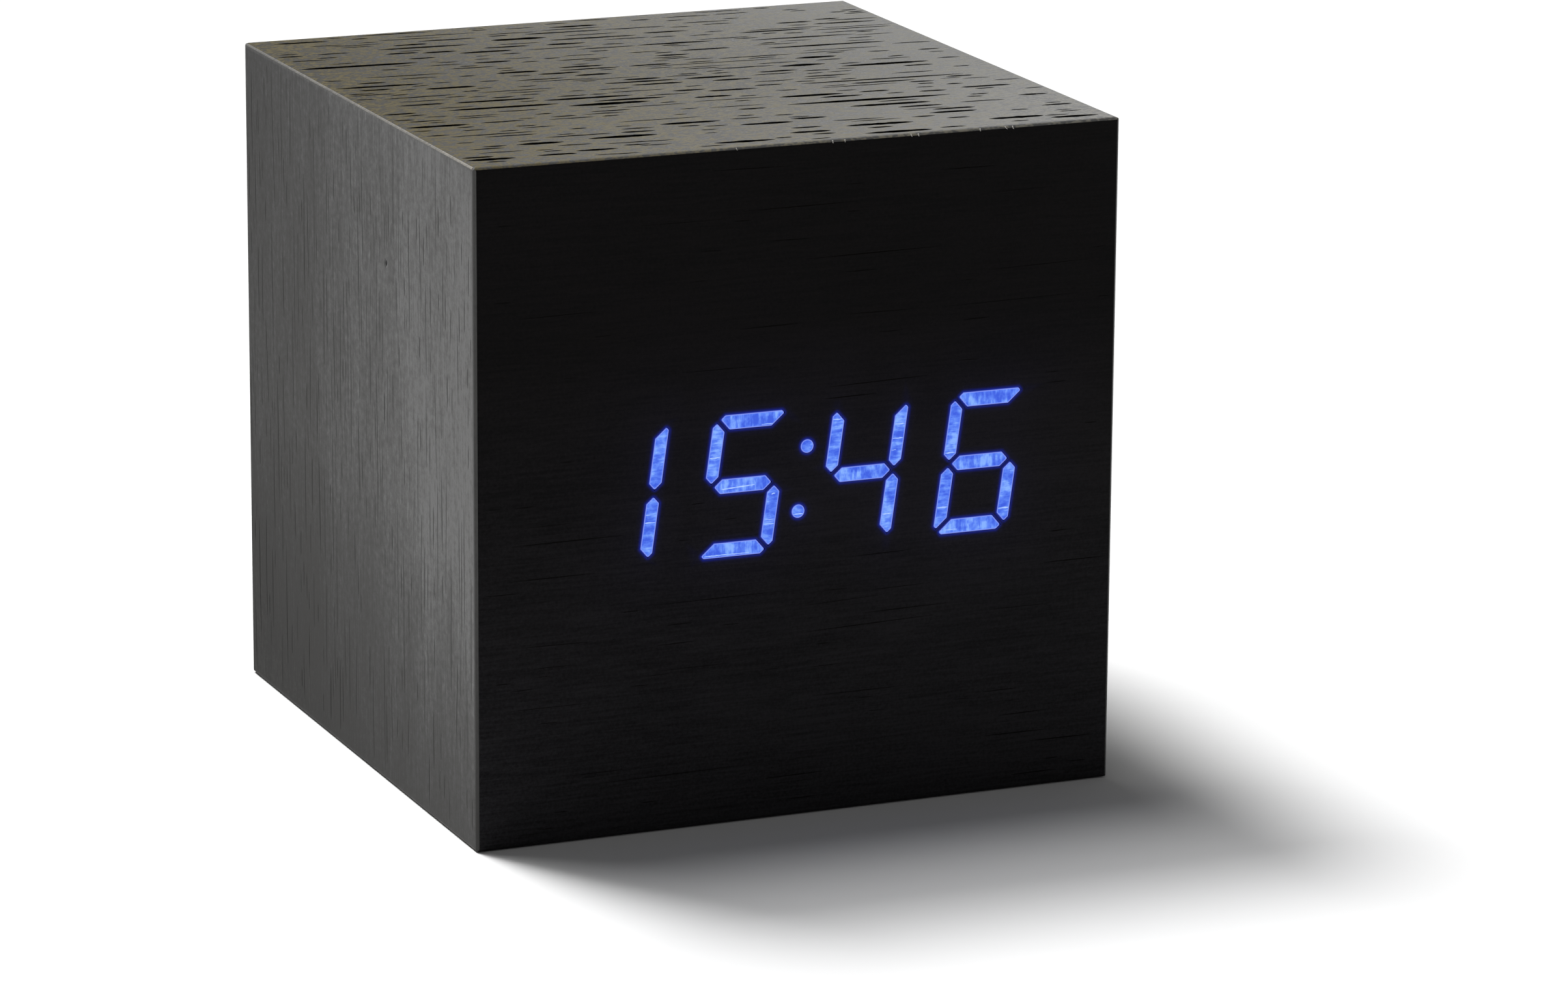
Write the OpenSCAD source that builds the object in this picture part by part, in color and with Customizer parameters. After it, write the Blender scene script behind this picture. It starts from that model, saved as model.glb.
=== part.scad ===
// Cube alarm clock: a black wooden case with a lit seven-segment display behind the front veneer,
// and a rear panel that carries the buttons, the power socket and the battery bay.
// Millimetres. +Z is up, the front faces -Y, and the origin is the middle of the base.

/* [Case] */
// Width of the case, left to right
case_w = 68; // [66:1:90]
// Depth of the case, front to back
case_d = 68; // [60:1:90]
// Height of the case
case_h = 68; // [66:1:90]
// Thickness of the wooden panels
panel_t = 5; // [4:0.5:5.5]
// Thickness of the veneer on the front
veneer_t = 0.6; // [0.5:0.1:1]
// Radius of the outer edges
edge_r = 0.5; // [0.2:0.1:1.5]

/* [Digits] */
// Hours shown
shown_hours = 15; // [0:1:23]
// Minutes shown
shown_minutes = 46; // [0:1:59]
// Height of a digit
digit_h = 14.4; // [12:0.1:15]
// Width of a digit across its upright strokes
digit_w = 8.2; // [7:0.1:8.6]
// Distance from one digit to the next
digit_pitch = 12.7; // [11.8:0.1:13]
// Width of a level segment
stroke_w = 1.6; // [1.2:0.1:1.8]
// Width of an upright segment
post_w = 1.45; // [1.2:0.05:1.8]
// Dark gap between neighbouring segments
segment_gap = 0.36; // [0.2:0.02:0.5]
// Bevel at the top left and bottom right corners of the digits
corner_bevel = 0.95; // [0.4:0.05:1.2]
// Cut at the top right and bottom left corners of the digits
corner_cut = 0.7; // [0.2:0.1:0.9]
// Lean of the digits, in degrees
digit_slant = 8; // [0:1:12]
// Diameter of the two colon dots
dot_d = 1.5; // [1:0.1:1.8]
// Distance from one colon dot to the other
dot_pitch = 6.5; // [5:0.1:8]
// How far the display stands right of the middle of the front
display_x = 0.2; // [-0.6:0.1:0.6]
// How far the display stands above the middle of the front
display_rise = 0.4; // [-2:0.1:2]
// Depth of the lit patches in the veneer
patch_t = 0.3; // [0.2:0.1:0.4]

/* [Display module] */
// Plastic left and right of the digits in the display housing
housing_rim_x = 1; // [0.8:0.1:1.4]
// Plastic above and below the digits in the display housing
housing_rim_z = 2.4; // [1.5:0.1:3]
// Play of the display parts in their seats
display_play = 0.05; // [0.02:0.01:0.1]
// Thickness of the light guides
guide_t = 3; // [2:0.1:3.4]
// Length of a light source
led_l = 1.6; // [1:0.1:2]
// Width of a light source
led_w = 0.8; // [0.5:0.1:0.9]
// Height of a light source
led_h = 0.6; // [0.3:0.1:0.8]
// Thickness of the circuit boards
board_t = 1.6; // [1:0.1:2]
// How far the display board reaches past the housing at the sides
board_lip_x = 1.4; // [1:0.1:1.6]
// How far the display board reaches past the housing above and below
board_lip_z = 5; // [4.5:0.1:6]
// Distance of the display screws from the middle of the board, left and right
display_screw_x = 20; // [15:0.5:22]
// Diameter of the small screws
small_screw_d = 1.7; // [1.4:0.1:2]
// Width of the flat cable
cable_w = 12; // [8:0.5:13]
// Thickness of the flat cable
cable_t = 0.8; // [0.5:0.1:1]
// Height of the cable plugs
plug_h = 3.4; // [2.5:0.1:4]
// Depth of the cable plugs
plug_l = 4; // [3:0.1:5]

/* [Rear panel] */
// How far the rear panel sits inside the case
rear_recess = 1; // [0.9:0.1:2]
// Thickness of the rear panel
rear_t = 3; // [2.8:0.1:4]
// Play between the rear panel and the case
rear_play = 0.15; // [0.05:0.05:0.4]
// Side of the corner blocks
block_side = 6; // [5.5:0.1:6.4]
// Diameter of the rear panel's screws
rear_screw_d = 2; // [1.6:0.1:2.4]
// How far the rear panel's screws go into the corner blocks
rear_screw_bite = 4.4; // [3:0.1:4.8]
// Distance from the rear panel to the main board
post_l = 6; // [5.6:0.1:7]
// Diameter of the posts that carry the main board
post_d = 4; // [3.6:0.1:4.4]

/* [Buttons and socket] */
// Diameter of a button
button_d = 5; // [4:0.1:5.4]
// How far a button stands out of the rear panel
button_proud = 0.8; // [0.6:0.1:0.9]
// Distance that a button moves
button_travel = 0.5; // [0.3:0.05:0.6]
// Play of a button in its hole, on the radius
button_play = 0.08; // [0.05:0.01:0.1]
// Distance from one button to the next
button_pitch = 7.4; // [7.3:0.1:7.8]
// Side of a switch body
switch_side = 6; // [5:0.1:6.4]
// Height of a switch body
switch_h = 3.5; // [3:0.1:3.8]
// Diameter of a switch plunger
plunger_d = 3.4; // [2.6:0.1:3.6]
// Diameter of the microphone
mic_d = 4.5; // [4:0.1:5]
// Height of the microphone
mic_h = 3; // [2:0.1:4]
// Diameter of the hole in front of the microphone
mic_hole_d = 1.5; // [1:0.1:2]
// Outer diameter of the socket's nose
jack_nose_d = 6; // [5.6:0.1:6.4]
// Diameter of the socket's bore
jack_bore_d = 3.6; // [3.4:0.1:4]
// Depth of the socket's bore
jack_bore_l = 7; // [6:0.1:7.4]
// Diameter of the socket's centre pin
jack_pin_d = 1.3; // [1.1:0.05:1.4]
// How far the centre pin lies inside the socket
jack_pin_inset = 1.2; // [0.8:0.1:1.6]
// Side of the socket's body
jack_side = 7; // [6.6:0.1:7.2]

/* [Battery bay] */
// Diameter of a battery cell
cell_d = 10.5; // [10:0.1:11]
// Length of a battery cell with its nub
cell_l = 44.5; // [43:0.1:45]
// Gap between cells
cell_gap = 0.6; // [0.4:0.1:0.9]
// Gap between the outer cells and the bay, and below the door
cell_play = 0.4; // [0.3:0.1:0.6]
// Wall of the battery tray
tray_wall = 1.2; // [1:0.1:1.4]
// Thickness of the contact plates
contact_t = 0.4; // [0.3:0.05:0.5]
// Length of a contact spring
spring_l = 4.5; // [4.4:0.1:5]
// Diameter of the spring wire
spring_wire_d = 0.5; // [0.4:0.05:0.55]
// Radius of a spring at its plate
spring_base_r = 3.4; // [3:0.1:4]
// Radius of a spring at its cell
spring_tip_r = 2.2; // [2:0.1:2.8]
// Curls of a spring
spring_curls = 3; // [2:1:3]
// Thickness of the battery door
door_t = 2.4; // [2:0.1:2.6]
// Gap around the battery door
door_gap = 0.3; // [0.2:0.05:0.4]
// Diameter of the door's hinge pins
door_pin_d = 1.2; // [1:0.1:1.4]
// Length of the door's hinge pins in the panel
door_pin_l = 1.4; // [1:0.1:1.6]
// Play of a hinge pin in its hole, on the radius
door_pin_play = 0.05; // [0.02:0.01:0.1]
// Width of the door's latch tongue
latch_w = 10; // [8:0.5:14]
// Length of the door's latch tongue
latch_l = 7; // [5:0.5:9]
// Diameter of the battery leads
lead_d = 1.2; // [0.9:0.1:1.3]

/* [Hidden] */
$fn = 64;

// Colours
wood = "#1d1c1b";
veneer = "#131212";
glow = "#5c83f2";
black_plastic = "#1a1a1b";
white_plastic = "#e6e6e2";
resin = "#dfe6f2";
board_green = "#1f5a3a";
steel = "#b9bcc0";
copper = "#c8a05a";

// Small clearances and margins
far = 0.5;            // how far a cut runs past the face that it opens
touch = 0.05;         // air left where a moving piece rests on its stop
screw_play = 0.08;    // play of a screw in its hole, on the radius
end_play = 0.2;       // air beyond the end of a screw or pin
board_margin = 0.8;   // air around the main board
body_play = 0.2;      // air between a part on the board and the rear panel
tray_gap = 0.5;       // air between the tray and the lower corner blocks

// Case: planes of the faces
front_y = -case_d / 2;
rear_y = case_d / 2;
panel_front_y = front_y + veneer_t;
panel_back_y = panel_front_y + panel_t;
inner_w = case_w - 2 * panel_t;
floor_z = panel_t;
ceil_z = case_h - panel_t;
rear_face_y = rear_y - rear_recess;
rear_in_y = rear_face_y - rear_t;

// Display: the digits stand about this middle
display_z = case_h / 2 + display_rise;
lean = tan(digit_slant);
housing_w = 3 * digit_pitch + digit_w + digit_h * lean + 2 * housing_rim_x;
housing_h = digit_h + 2 * housing_rim_z;
display_board_w = housing_w + 2 * board_lip_x;
display_board_h = housing_h + 2 * board_lip_z;
display_board_y = panel_back_y + board_t;
display_screw_z = housing_h / 2 + board_lip_z / 2;
display_screw_bite = panel_t * 0.6;
digits = [floor(shown_hours / 10), shown_hours % 10, floor(shown_minutes / 10), shown_minutes % 10];
// Segments a to g that each numeral lights
LIT = [[1, 1, 1, 1, 1, 1, 0], [0, 1, 1, 0, 0, 0, 0], [1, 1, 0, 1, 1, 0, 1], [1, 1, 1, 1, 0, 0, 1],
    [0, 1, 1, 0, 0, 1, 1], [1, 0, 1, 1, 0, 1, 1], [1, 0, 1, 1, 1, 1, 1], [1, 1, 1, 0, 0, 0, 0],
    [1, 1, 1, 1, 1, 1, 1], [1, 1, 1, 1, 0, 1, 1]];

// Screw heads, as shares of the screw's diameter
head_share = 1.9;
head_rise = 0.6;
small_head_d = small_screw_d * head_share;
small_head_h = small_screw_d * head_rise;
rear_head_d = rear_screw_d * head_share;
rear_head_h = rear_screw_d * head_rise;
drive_w = 0.4;        // width of the cross in a screw head
drive_l = 0.7;        // share of the head that the cross spans

// Battery bay: inside measures and place
cell_step = cell_d + cell_gap;
bay_l = cell_l + spring_l + 2 * contact_t + 2 * touch;
bay_h = 3 * cell_d + 2 * cell_gap + 2 * cell_play;
bay_depth = cell_d + 2 * cell_play;
bay_low_z = floor_z + block_side + tray_gap + tray_wall;
bay_top_z = bay_low_z + bay_h;
bay_mid_z = bay_low_z + bay_h / 2;
tray_top_z = bay_top_z + tray_wall;
tray_low_z = bay_low_z - tray_wall;
tray_side_x = bay_l / 2 + tray_wall;
cell_y = rear_in_y - cell_play - cell_d / 2;
cell_end = bay_l / 2 - contact_t - touch;
nub_d = cell_d * 0.36;
nub_l = 1;
cell_rim = 0.6;       // slope at the ends of a cell's wrap
rib_h = 2.5;          // height of the ribs between the cells
rib_t = 1.2;
contact_side = 7;
tray_front_y = rear_in_y - bay_depth - tray_wall;
tab_w = 3;            // width of a contact's solder tab
tab_reach = 1.5;      // how far a solder tab stands out of the tray
tab_play = 0.1;       // air around a solder tab in its slot
tab_x = (bay_l - contact_t) / 2;
tab_tip_y = tray_front_y - tab_reach;
ear_w = 6;            // ears below the tray, for its screws, and lips above it
ear_h = 3.4;
ear_t = 2;
ear_x = 10.7;
lip_h = 0.8;          // height of the lips that hold the tray's top edge in the rear panel
lip_l = 1;            // how far they reach into the rear panel
lip_play = 0.1;
panel_skin = 0.8;     // plastic left beyond a screw in the rear panel
tray_screw_bite = rear_t - panel_skin;

// Battery door: hinge axis along X
hinge_y = rear_face_y - door_t / 2;
hinge_z = bay_low_z + door_gap + door_t / 2;
door_half_w = bay_l / 2 - door_gap;
door_top_z = bay_top_z - door_gap;
latch_slot = 0.8;     // width of the slots beside the latch tongue
latch_bead_r = 0.5;
latch_bead_proud = door_gap / 2;
scoop_r = 5;          // finger scoop above the latch
scoop_depth = 1.2;
foam_t = 0.7;
foam_w = 36;
foam_h = 8;

// Main board and the row of buttons on the rear panel
row_z = (tray_top_z + ceil_z) / 2;
row_gap = 0.9;        // air between the microphone and the socket
post_gap = 0.6;       // air between the socket and a post
post_rim = 0.4;       // board left around a post
post_floor = 1;       // plastic left under a post's screw hole
flange_rim = 0.8;     // how far a button's flange stands out all round
root_rim = 0.2;       // how far the root of the socket's pin stands out all round
jack_step = mic_d / 2 + jack_side / 2 + row_gap;
row_w = 3 * button_pitch + jack_step;
button_x = [for (i = [0:2]) -row_w / 2 + i * button_pitch];
mic_x = -row_w / 2 + 3 * button_pitch;
jack_x = row_w / 2;
board_back_y = rear_in_y - post_l;
board_front_y = board_back_y - board_t;
board_low_z = tray_top_z + board_margin;
board_top_z = ceil_z - board_margin;
post_x = row_w / 2 + jack_side / 2 + post_d / 2 + post_gap;
post_z = board_low_z + post_d / 2 + post_rim;
main_board_w = 2 * (post_x + post_d / 2 + post_rim);
block_l = post_l - board_margin;
button_flange_d = button_d + 2 * flange_rim;
button_flange_t = 0.9;
flange_y = rear_in_y - touch - button_flange_t;
well_play = 0.1;
plunger_in = 1;       // how far a plunger reaches into its switch at rest
jack_root_d = jack_pin_d + 2 * root_rim;
jack_root_l = 0.8;

// Parts on the back of the display board
buzzer_d = 11;
buzzer_h = 6;
buzzer_hole_d = 2.2;
buzzer_hole_l = 1;
chip_t = 1.5;         // height of both chips
driver_l = 8;
driver_w = 4;

// Parts on the front of the main board, in a row left and right of its plug
part_gap = 1;         // air between neighbours in the row
plug_rim = 1;         // how far a plug reaches past its cable on each side
plug_half = cable_w / 2 + plug_rim;
controller_l = 10;
controller_w = 4;
cap_d = 5;
cap_h = 6.5;
crystal_d = 2;
crystal_l = 6;
controller_x = -plug_half - part_gap - controller_l / 2;
cap_x = plug_half + part_gap + cap_d / 2;
crystal_x = cap_x + cap_d / 2 + part_gap + crystal_d / 2;

// Battery leads, which end on pads above the posts
pad_x = post_x;
pad_z = post_z + (small_head_d + lead_d) / 2 + part_gap;
lead_y = tab_tip_y - 2 * lead_d;

// Prism from a drawing in the XZ plane, with its back at y and its front t before that
module slab(y, t) {
    translate([0, y, 0]) rotate([90, 0, 0]) linear_extrude(t) children();
}

// Cylinder along Y from y0 to y1
module rod(d, y0, y1) {
    translate([0, y0, 0]) rotate([-90, 0, 0]) cylinder(d = d, h = y1 - y0);
}

// Box from its lowest to its highest corner
module block(low, high) {
    translate(low) cube(high - low);
}

// Rectangle with round corners, about its middle
module round_rect(w, h, r) {
    square([w - 2 * r, h], center = true);
    square([w, h - 2 * r], center = true);
    for (x = [-1, 1], y = [-1, 1]) translate([x * (w / 2 - r), y * (h / 2 - r)]) circle(r);
}

// Whole outer form of the case, with its round edges
module outer_form() {
    intersection() {
        translate([0, 0, -far]) linear_extrude(case_h + 2 * far) round_rect(case_w, case_d, edge_r);
        translate([0, rear_y + far, case_h / 2]) rotate([90, 0, 0]) linear_extrude(case_d + 2 * far)
            round_rect(case_w, case_h, edge_r);
        translate([-case_w / 2 - far, 0, case_h / 2]) rotate([90, 0, 90])
            linear_extrude(case_w + 2 * far) round_rect(case_d, case_h, edge_r);
    }
}

// Mitred bar seen from the front, for the bottom, right, top and left panels in turn
module mitre_ring(turn) {
    along = (turn % 2 == 0 ? case_w : case_h) / 2;
    across = (turn % 2 == 0 ? case_h : case_w) / 2;
    translate([0, 0, case_h / 2]) rotate([0, -90 * turn, 0]) rotate([90, 0, 0])
        linear_extrude(2 * case_d, center = true)
            polygon([[-along - far, -across - far], [along + far, -across - far],
                [along - panel_t, panel_t - across], [panel_t - along, panel_t - across]]);
}

// Space behind the front panel's mitres, all round the case
module behind_front() {
    rise = case_w + case_h;
    difference() {
        block([-case_w, panel_front_y, -case_h], [case_w, rear_y + far, 2 * case_h]);
        front_wedge(rise, far);
    }
}

// Front panel's tapered body, before its outer edges are rounded, with its slopes run on by ahead
module front_wedge(rise, ahead) {
    intersection() {
        translate([0, 0, case_h / 2 - rise / 2]) linear_extrude(rise) wedge_outline(case_w, ahead);
        translate([-rise / 2, 0, case_h / 2]) rotate([0, 90, 0]) linear_extrude(rise)
            wedge_outline(case_h, ahead);
    }
}

module wedge_outline(w, ahead) {
    wide = w / 2 + ahead;
    narrow = w / 2 - panel_t;
    polygon([[-wide, panel_front_y - ahead], [wide, panel_front_y - ahead],
        [narrow, panel_back_y], [-narrow, panel_back_y]]);
}

module side_panel(turn) {
    color(wood) intersection() {
        outer_form();
        mitre_ring(turn);
        behind_front();
    }
}

module bottom_panel() {
    side_panel(0);
}

module right_panel() {
    side_panel(1);
}

module top_panel() {
    side_panel(2);
}

module left_panel() {
    side_panel(3);
}

module front_panel() {
    color(wood) difference() {
        intersection() {
            outer_form();
            front_wedge(case_w + case_h, 0);
        }
        translate([display_x, 0, display_z]) {
            slab(panel_back_y + far, panel_t + 2 * far)
                square([housing_w + 2 * display_play, housing_h + 2 * display_play], center = true);
            at_display_screws() rod(small_screw_d + 2 * screw_play,
                panel_back_y - display_screw_bite - end_play, panel_back_y + far);
        }
    }
}

module front_veneer() {
    color(veneer) difference() {
        intersection() {
            outer_form();
            block([-case_w, front_y - far, -far], [case_w, panel_front_y, case_h + far]);
        }
        translate([display_x, 0, display_z]) slab(front_y + patch_t, patch_t + far) {
            all_digits(true, 0);
            dots(dot_d);
        }
    }
}

// Corner points of segment n of a digit, leaning, with its outline drawn in by inset
function leaning(p) = [p[0] + p[1] * lean, p[1]];
function segment_points(n, inset) =
    let (x = digit_w / 2 - inset, z = digit_h / 2 - inset, s = stroke_w - 2 * inset,
        p = post_w - 2 * inset, k = (segment_gap + 2 * inset) / sqrt(2),
        bevel = corner_bevel - 2 * inset, cut = corner_cut - 2 * inset,
        c = n == 2 || n == 5 ? bevel : cut,
        bar = [[k + bevel - x, z], [x - k - cut, z], [x - k - cut / 2, z - cut / 2],
            [x - k - s, z - s], [k + s - x, z - s], [k + bevel / 2 - x, z - bevel / 2]],
        post = [[-x, z - k - c], [c / 2 - x, z - k - c / 2], [p - x, z - k - p],
            [p - x, k + p / 2], [p / 2 - x, k], [-x, k + p / 2]],
        tip = p / 2 + k - x,
        middle = [[tip, 0], [tip + s / 2, s / 2], [-tip - s / 2, s / 2],
            [-tip, 0], [-tip - s / 2, -s / 2], [tip + s / 2, -s / 2]],
        flip_x = n == 1 || n == 2 || n == 3 ? -1 : 1,
        flip_z = n == 2 || n == 3 || n == 4 ? -1 : 1,
        outline = n == 6 ? middle : n == 0 || n == 3 ? bar : post)
    [for (q = outline) leaning([flip_x * q[0], flip_z * q[1]])];

// Middle of segment n of a digit
function segment_middle(n) =
    let (x = (digit_w - post_w) / 2, z = (digit_h - stroke_w) / 2)
    leaning([[0, z], [x, z / 2], [x, -z / 2], [0, -z], [-x, -z / 2], [-x, z / 2], [0, 0]][n]);

function digit_x(place) = (place - 1.5) * digit_pitch;

// Segments of the four digits: those that the time lights, or all of them
module all_digits(lit_only, inset) {
    for (place = [0:3], n = [0:6]) if (!lit_only || LIT[digits[place]][n] == 1)
        translate([digit_x(place), 0]) polygon(segment_points(n, inset));
}

module dots(d) {
    for (side = [-1, 1]) translate(leaning([0, side * dot_pitch / 2])) circle(d = d);
}

module lit_segments() {
    color(glow) translate([display_x, 0, display_z])
        slab(front_y + patch_t, patch_t) all_digits(true, display_play);
}

module colon_dots() {
    color(glow) translate([display_x, 0, display_z])
        slab(front_y + patch_t, patch_t) dots(dot_d - 2 * display_play);
}

module light_guides() {
    color(resin) translate([display_x, 0, display_z]) slab(panel_front_y + guide_t, guide_t) {
        all_digits(false, display_play);
        dots(dot_d - 2 * display_play);
    }
}

module display_housing() {
    color(white_plastic) translate([display_x, 0, display_z]) difference() {
        slab(panel_back_y, panel_t) square([housing_w, housing_h], center = true);
        slab(panel_back_y + far, panel_t + 2 * far) {
            all_digits(false, 0);
            dots(dot_d);
        }
    }
}

module at_display_screws() {
    for (x = [-1, 1], z = [-1, 1])
        translate([x * display_screw_x, 0, z * display_screw_z]) children();
}

module display_board() {
    color(board_green) translate([display_x, 0, display_z]) difference() {
        slab(display_board_y, board_t) square([display_board_w, display_board_h], center = true);
        at_display_screws() rod(small_screw_d + 2 * screw_play, panel_back_y - far, display_board_y + far);
    }
}

// One light source under each segment and dot, lying along its segment
module display_leds() {
    color("white") translate([display_x, 0, display_z]) slab(panel_back_y, led_h) {
        for (place = [0:3], n = [0:6]) translate([digit_x(place), 0] + segment_middle(n))
            square(n % 3 == 0 ? [led_l, led_w] : [led_w, led_l], center = true);
        for (side = [-1, 1]) translate(leaning([0, side * dot_pitch / 2]))
            square([led_w, led_w], center = true);
    }
}

// Cross-head screw: its head stands on z = 0 and its shank runs down from there
module screw(d, l, head_d, head_h) {
    color(steel) difference() {
        union() {
            translate([0, 0, -l]) cylinder(d = d, h = l);
            cylinder(d = head_d, h = head_h);
        }
        for (a = [0, 90]) rotate(a) translate([0, 0, head_h])
            cube([head_d * drive_l, drive_w, head_h], center = true);
    }
}

// The children's z axis turned to face the back
module face_back() {
    rotate([-90, 0, 0]) children();
}

module face_front() {
    rotate([90, 0, 0]) children();
}

module display_screws() {
    translate([display_x, display_board_y, display_z]) at_display_screws() face_back()
        screw(small_screw_d, board_t + display_screw_bite, small_head_d, small_head_h);
}

// Cable plug with its solder side at y, reaching l along Y
module cable_plug(y, l, z) {
    color("#ece8da") block([-plug_half, min(y, y + l), z - plug_h / 2],
        [plug_half, max(y, y + l), z + plug_h / 2]);
}

display_plug_z = display_z + display_board_h / 2 - plug_h;
main_plug_z = row_z;

module display_plug() {
    cable_plug(display_board_y, plug_l, display_plug_z);
}

module main_plug() {
    cable_plug(board_front_y, -plug_l, main_plug_z);
}

// Flat cable in one easy S from plug to plug
cable_steps = 12;
cable_y0 = display_board_y + plug_l;
cable_y1 = board_front_y - plug_l;
function cable_point(i) =
    let (t = i / cable_steps, ease = t * t * (3 - 2 * t))
    [cable_y0 + (cable_y1 - cable_y0) * t, display_plug_z + (main_plug_z - display_plug_z) * ease];

module flat_cable() {
    upper = [for (i = [0:cable_steps]) cable_point(i) + [0, cable_t / 2]];
    lower = [for (i = [cable_steps:-1:0]) cable_point(i) - [0, cable_t / 2]];
    color("#8a8d92") translate([-cable_w / 2, 0, 0]) rotate([90, 0, 90]) linear_extrude(cable_w)
        polygon(concat(upper, lower));
}

module at_corner_blocks() {
    for (x = [-1, 1], z = [floor_z + block_side / 2, ceil_z - block_side / 2])
        translate([x * (inner_w - block_side) / 2, 0, z]) children();
}

module corner_blocks() {
    color("#b08a5c") at_corner_blocks() difference() {
        translate([0, rear_in_y - block_l / 2, 0]) cube([block_side, block_l, block_side], center = true);
        rod(rear_screw_d + 2 * screw_play, rear_in_y - rear_screw_bite - end_play, rear_in_y + far);
    }
}

rear_head_seat = rear_head_h + 0.2;    // depth of the recess for a screw head
module rear_panel_screws() {
    translate([0, rear_face_y - rear_head_seat, 0]) at_corner_blocks() face_back()
        screw(rear_screw_d, rear_t - rear_head_seat + rear_screw_bite, rear_head_d, rear_head_h);
}

module at_tray_ears() {
    for (x = [-1, 1]) translate([x * ear_x, 0, tray_low_z - ear_h / 2]) children();
}

// Lips on the tray's top edge, or with play their pockets in the rear panel
module tray_lips(play) {
    for (x = [-1, 1]) translate([x * ear_x, rear_in_y, tray_top_z])
        block([-ear_w / 2 - play, -ear_t, -play], [ear_w / 2 + play, lip_l + play, lip_h + play]);
}

module at_posts() {
    for (x = [-1, 1]) translate([x * post_x, 0, post_z]) children();
}

module rear_panel() {
    color(black_plastic) difference() {
        union() {
            block([rear_play - inner_w / 2, rear_in_y, floor_z + rear_play],
                [inner_w / 2 - rear_play, rear_face_y, ceil_z - rear_play]);
            at_posts() rod(post_d, board_back_y, rear_in_y + far);
        }
        rear_panel_cuts();
    }
}

module rear_panel_cuts() {
    // Door opening, finger scoop and hinge pin holes
    block([-bay_l / 2, rear_in_y - far, bay_low_z], [bay_l / 2, rear_face_y + far, bay_top_z]);
    translate([0, 0, bay_top_z]) rod(2 * scoop_r, rear_face_y - scoop_depth, rear_face_y + far);
    translate([0, hinge_y, hinge_z]) rotate([0, 90, 0]) cylinder(d = door_pin_d + 2 * door_pin_play,
        h = 2 * (door_half_w + door_gap + door_pin_l + end_play), center = true);
    // Holes of the corner screws, with a recess for each head
    at_corner_blocks() {
        rod(rear_screw_d + 2 * screw_play, rear_in_y - far, rear_face_y + far);
        rod(rear_head_d + 0.4, rear_face_y - rear_head_seat, rear_face_y + far);
    }
    // Holes for the screws of the battery tray and of the main board, and pockets for the tray's lips
    at_tray_ears() rod(small_screw_d + 2 * screw_play, rear_in_y - far,
        rear_in_y + tray_screw_bite + end_play);
    tray_lips(lip_play);
    at_posts() rod(small_screw_d + 2 * screw_play, board_back_y - far, rear_in_y - post_floor);
    // Buttons, microphone and power socket
    for (x = button_x) translate([x, 0, row_z])
        rod(button_d + 2 * button_play, rear_in_y - far, rear_face_y + far);
    translate([mic_x, 0, row_z]) rod(mic_hole_d, rear_in_y - far, rear_face_y + far);
    translate([jack_x, 0, row_z]) rod(jack_nose_d + 2 * body_play, rear_in_y - far, rear_face_y + far);
}

module main_board() {
    color(board_green) difference() {
        block([-main_board_w / 2, board_front_y, board_low_z], [main_board_w / 2, board_back_y, board_top_z]);
        at_posts() rod(small_screw_d + 2 * screw_play, board_front_y - far, board_back_y + far);
    }
}

module main_board_screws() {
    translate([0, board_front_y, 0]) at_posts() face_front()
        screw(small_screw_d, board_t + post_l - post_floor - end_play, small_head_d, small_head_h);
}

// Chip of a length and width, about the middle of its face at y = 0
module chip(l, w) {
    color("#18181a") translate([0, chip_t / 2, 0]) cube([l, chip_t, w], center = true);
}

module microcontroller() {
    translate([controller_x, board_front_y - chip_t, row_z]) chip(controller_l, controller_w);
}

module led_driver() {
    translate([display_x + digit_pitch, display_board_y, display_z]) chip(driver_l, driver_w);
}

module crystal() {
    color(steel) translate([crystal_x, board_front_y - crystal_d / 2, row_z])
        cylinder(d = crystal_d, h = crystal_l, center = true);
}

module capacitor() {
    color("#20304c") translate([cap_x, 0, row_z]) rod(cap_d, board_front_y - cap_h, board_front_y);
}

module piezo_buzzer() {
    buzzer_y = display_board_y + buzzer_h;
    color("#141416") translate([display_x - digit_pitch, 0, display_z]) difference() {
        rod(buzzer_d, display_board_y, buzzer_y);
        rod(buzzer_hole_d, buzzer_y - buzzer_hole_l, buzzer_y + far);
    }
}

module microphone() {
    color(steel) translate([mic_x, 0, row_z]) difference() {
        rod(mic_d, board_back_y, board_back_y + mic_h);
        rod(mic_d * 0.4, board_back_y + mic_h - 0.4, board_back_y + mic_h + far);
    }
}

switch_top_y = board_back_y + switch_h;
module tact_switches() {
    color("#202022") for (x = button_x) translate([x, 0, row_z]) difference() {
        translate([0, board_back_y + switch_h / 2, 0])
            cube([switch_side, switch_h, switch_side], center = true);
        rod(plunger_d + 2 * well_play,
            switch_top_y - plunger_in - button_travel - end_play, switch_top_y + far);
    }
}

// Button cap with the flange that keeps it behind the panel and a dished top
dish_r = 14;
dish_depth = 0.25;
module button(i) {
    top_y = rear_face_y + button_proud;
    color("#262628") translate([button_x[i], 0, row_z]) difference() {
        union() {
            rod(button_flange_d, flange_y, flange_y + button_flange_t);
            rod(button_d, flange_y, top_y);
        }
        translate([0, top_y + dish_r - dish_depth, 0]) sphere(dish_r);
    }
}

module set_button() {
    button(0);
}

module up_button() {
    button(1);
}

module down_button() {
    button(2);
}

module plunger(i) {
    color("#d8d4c8") translate([button_x[i], 0, row_z])
        rod(plunger_d, switch_top_y - plunger_in, flange_y);
}

module set_plunger() {
    plunger(0);
}

module up_plunger() {
    plunger(1);
}

module down_plunger() {
    plunger(2);
}

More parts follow.
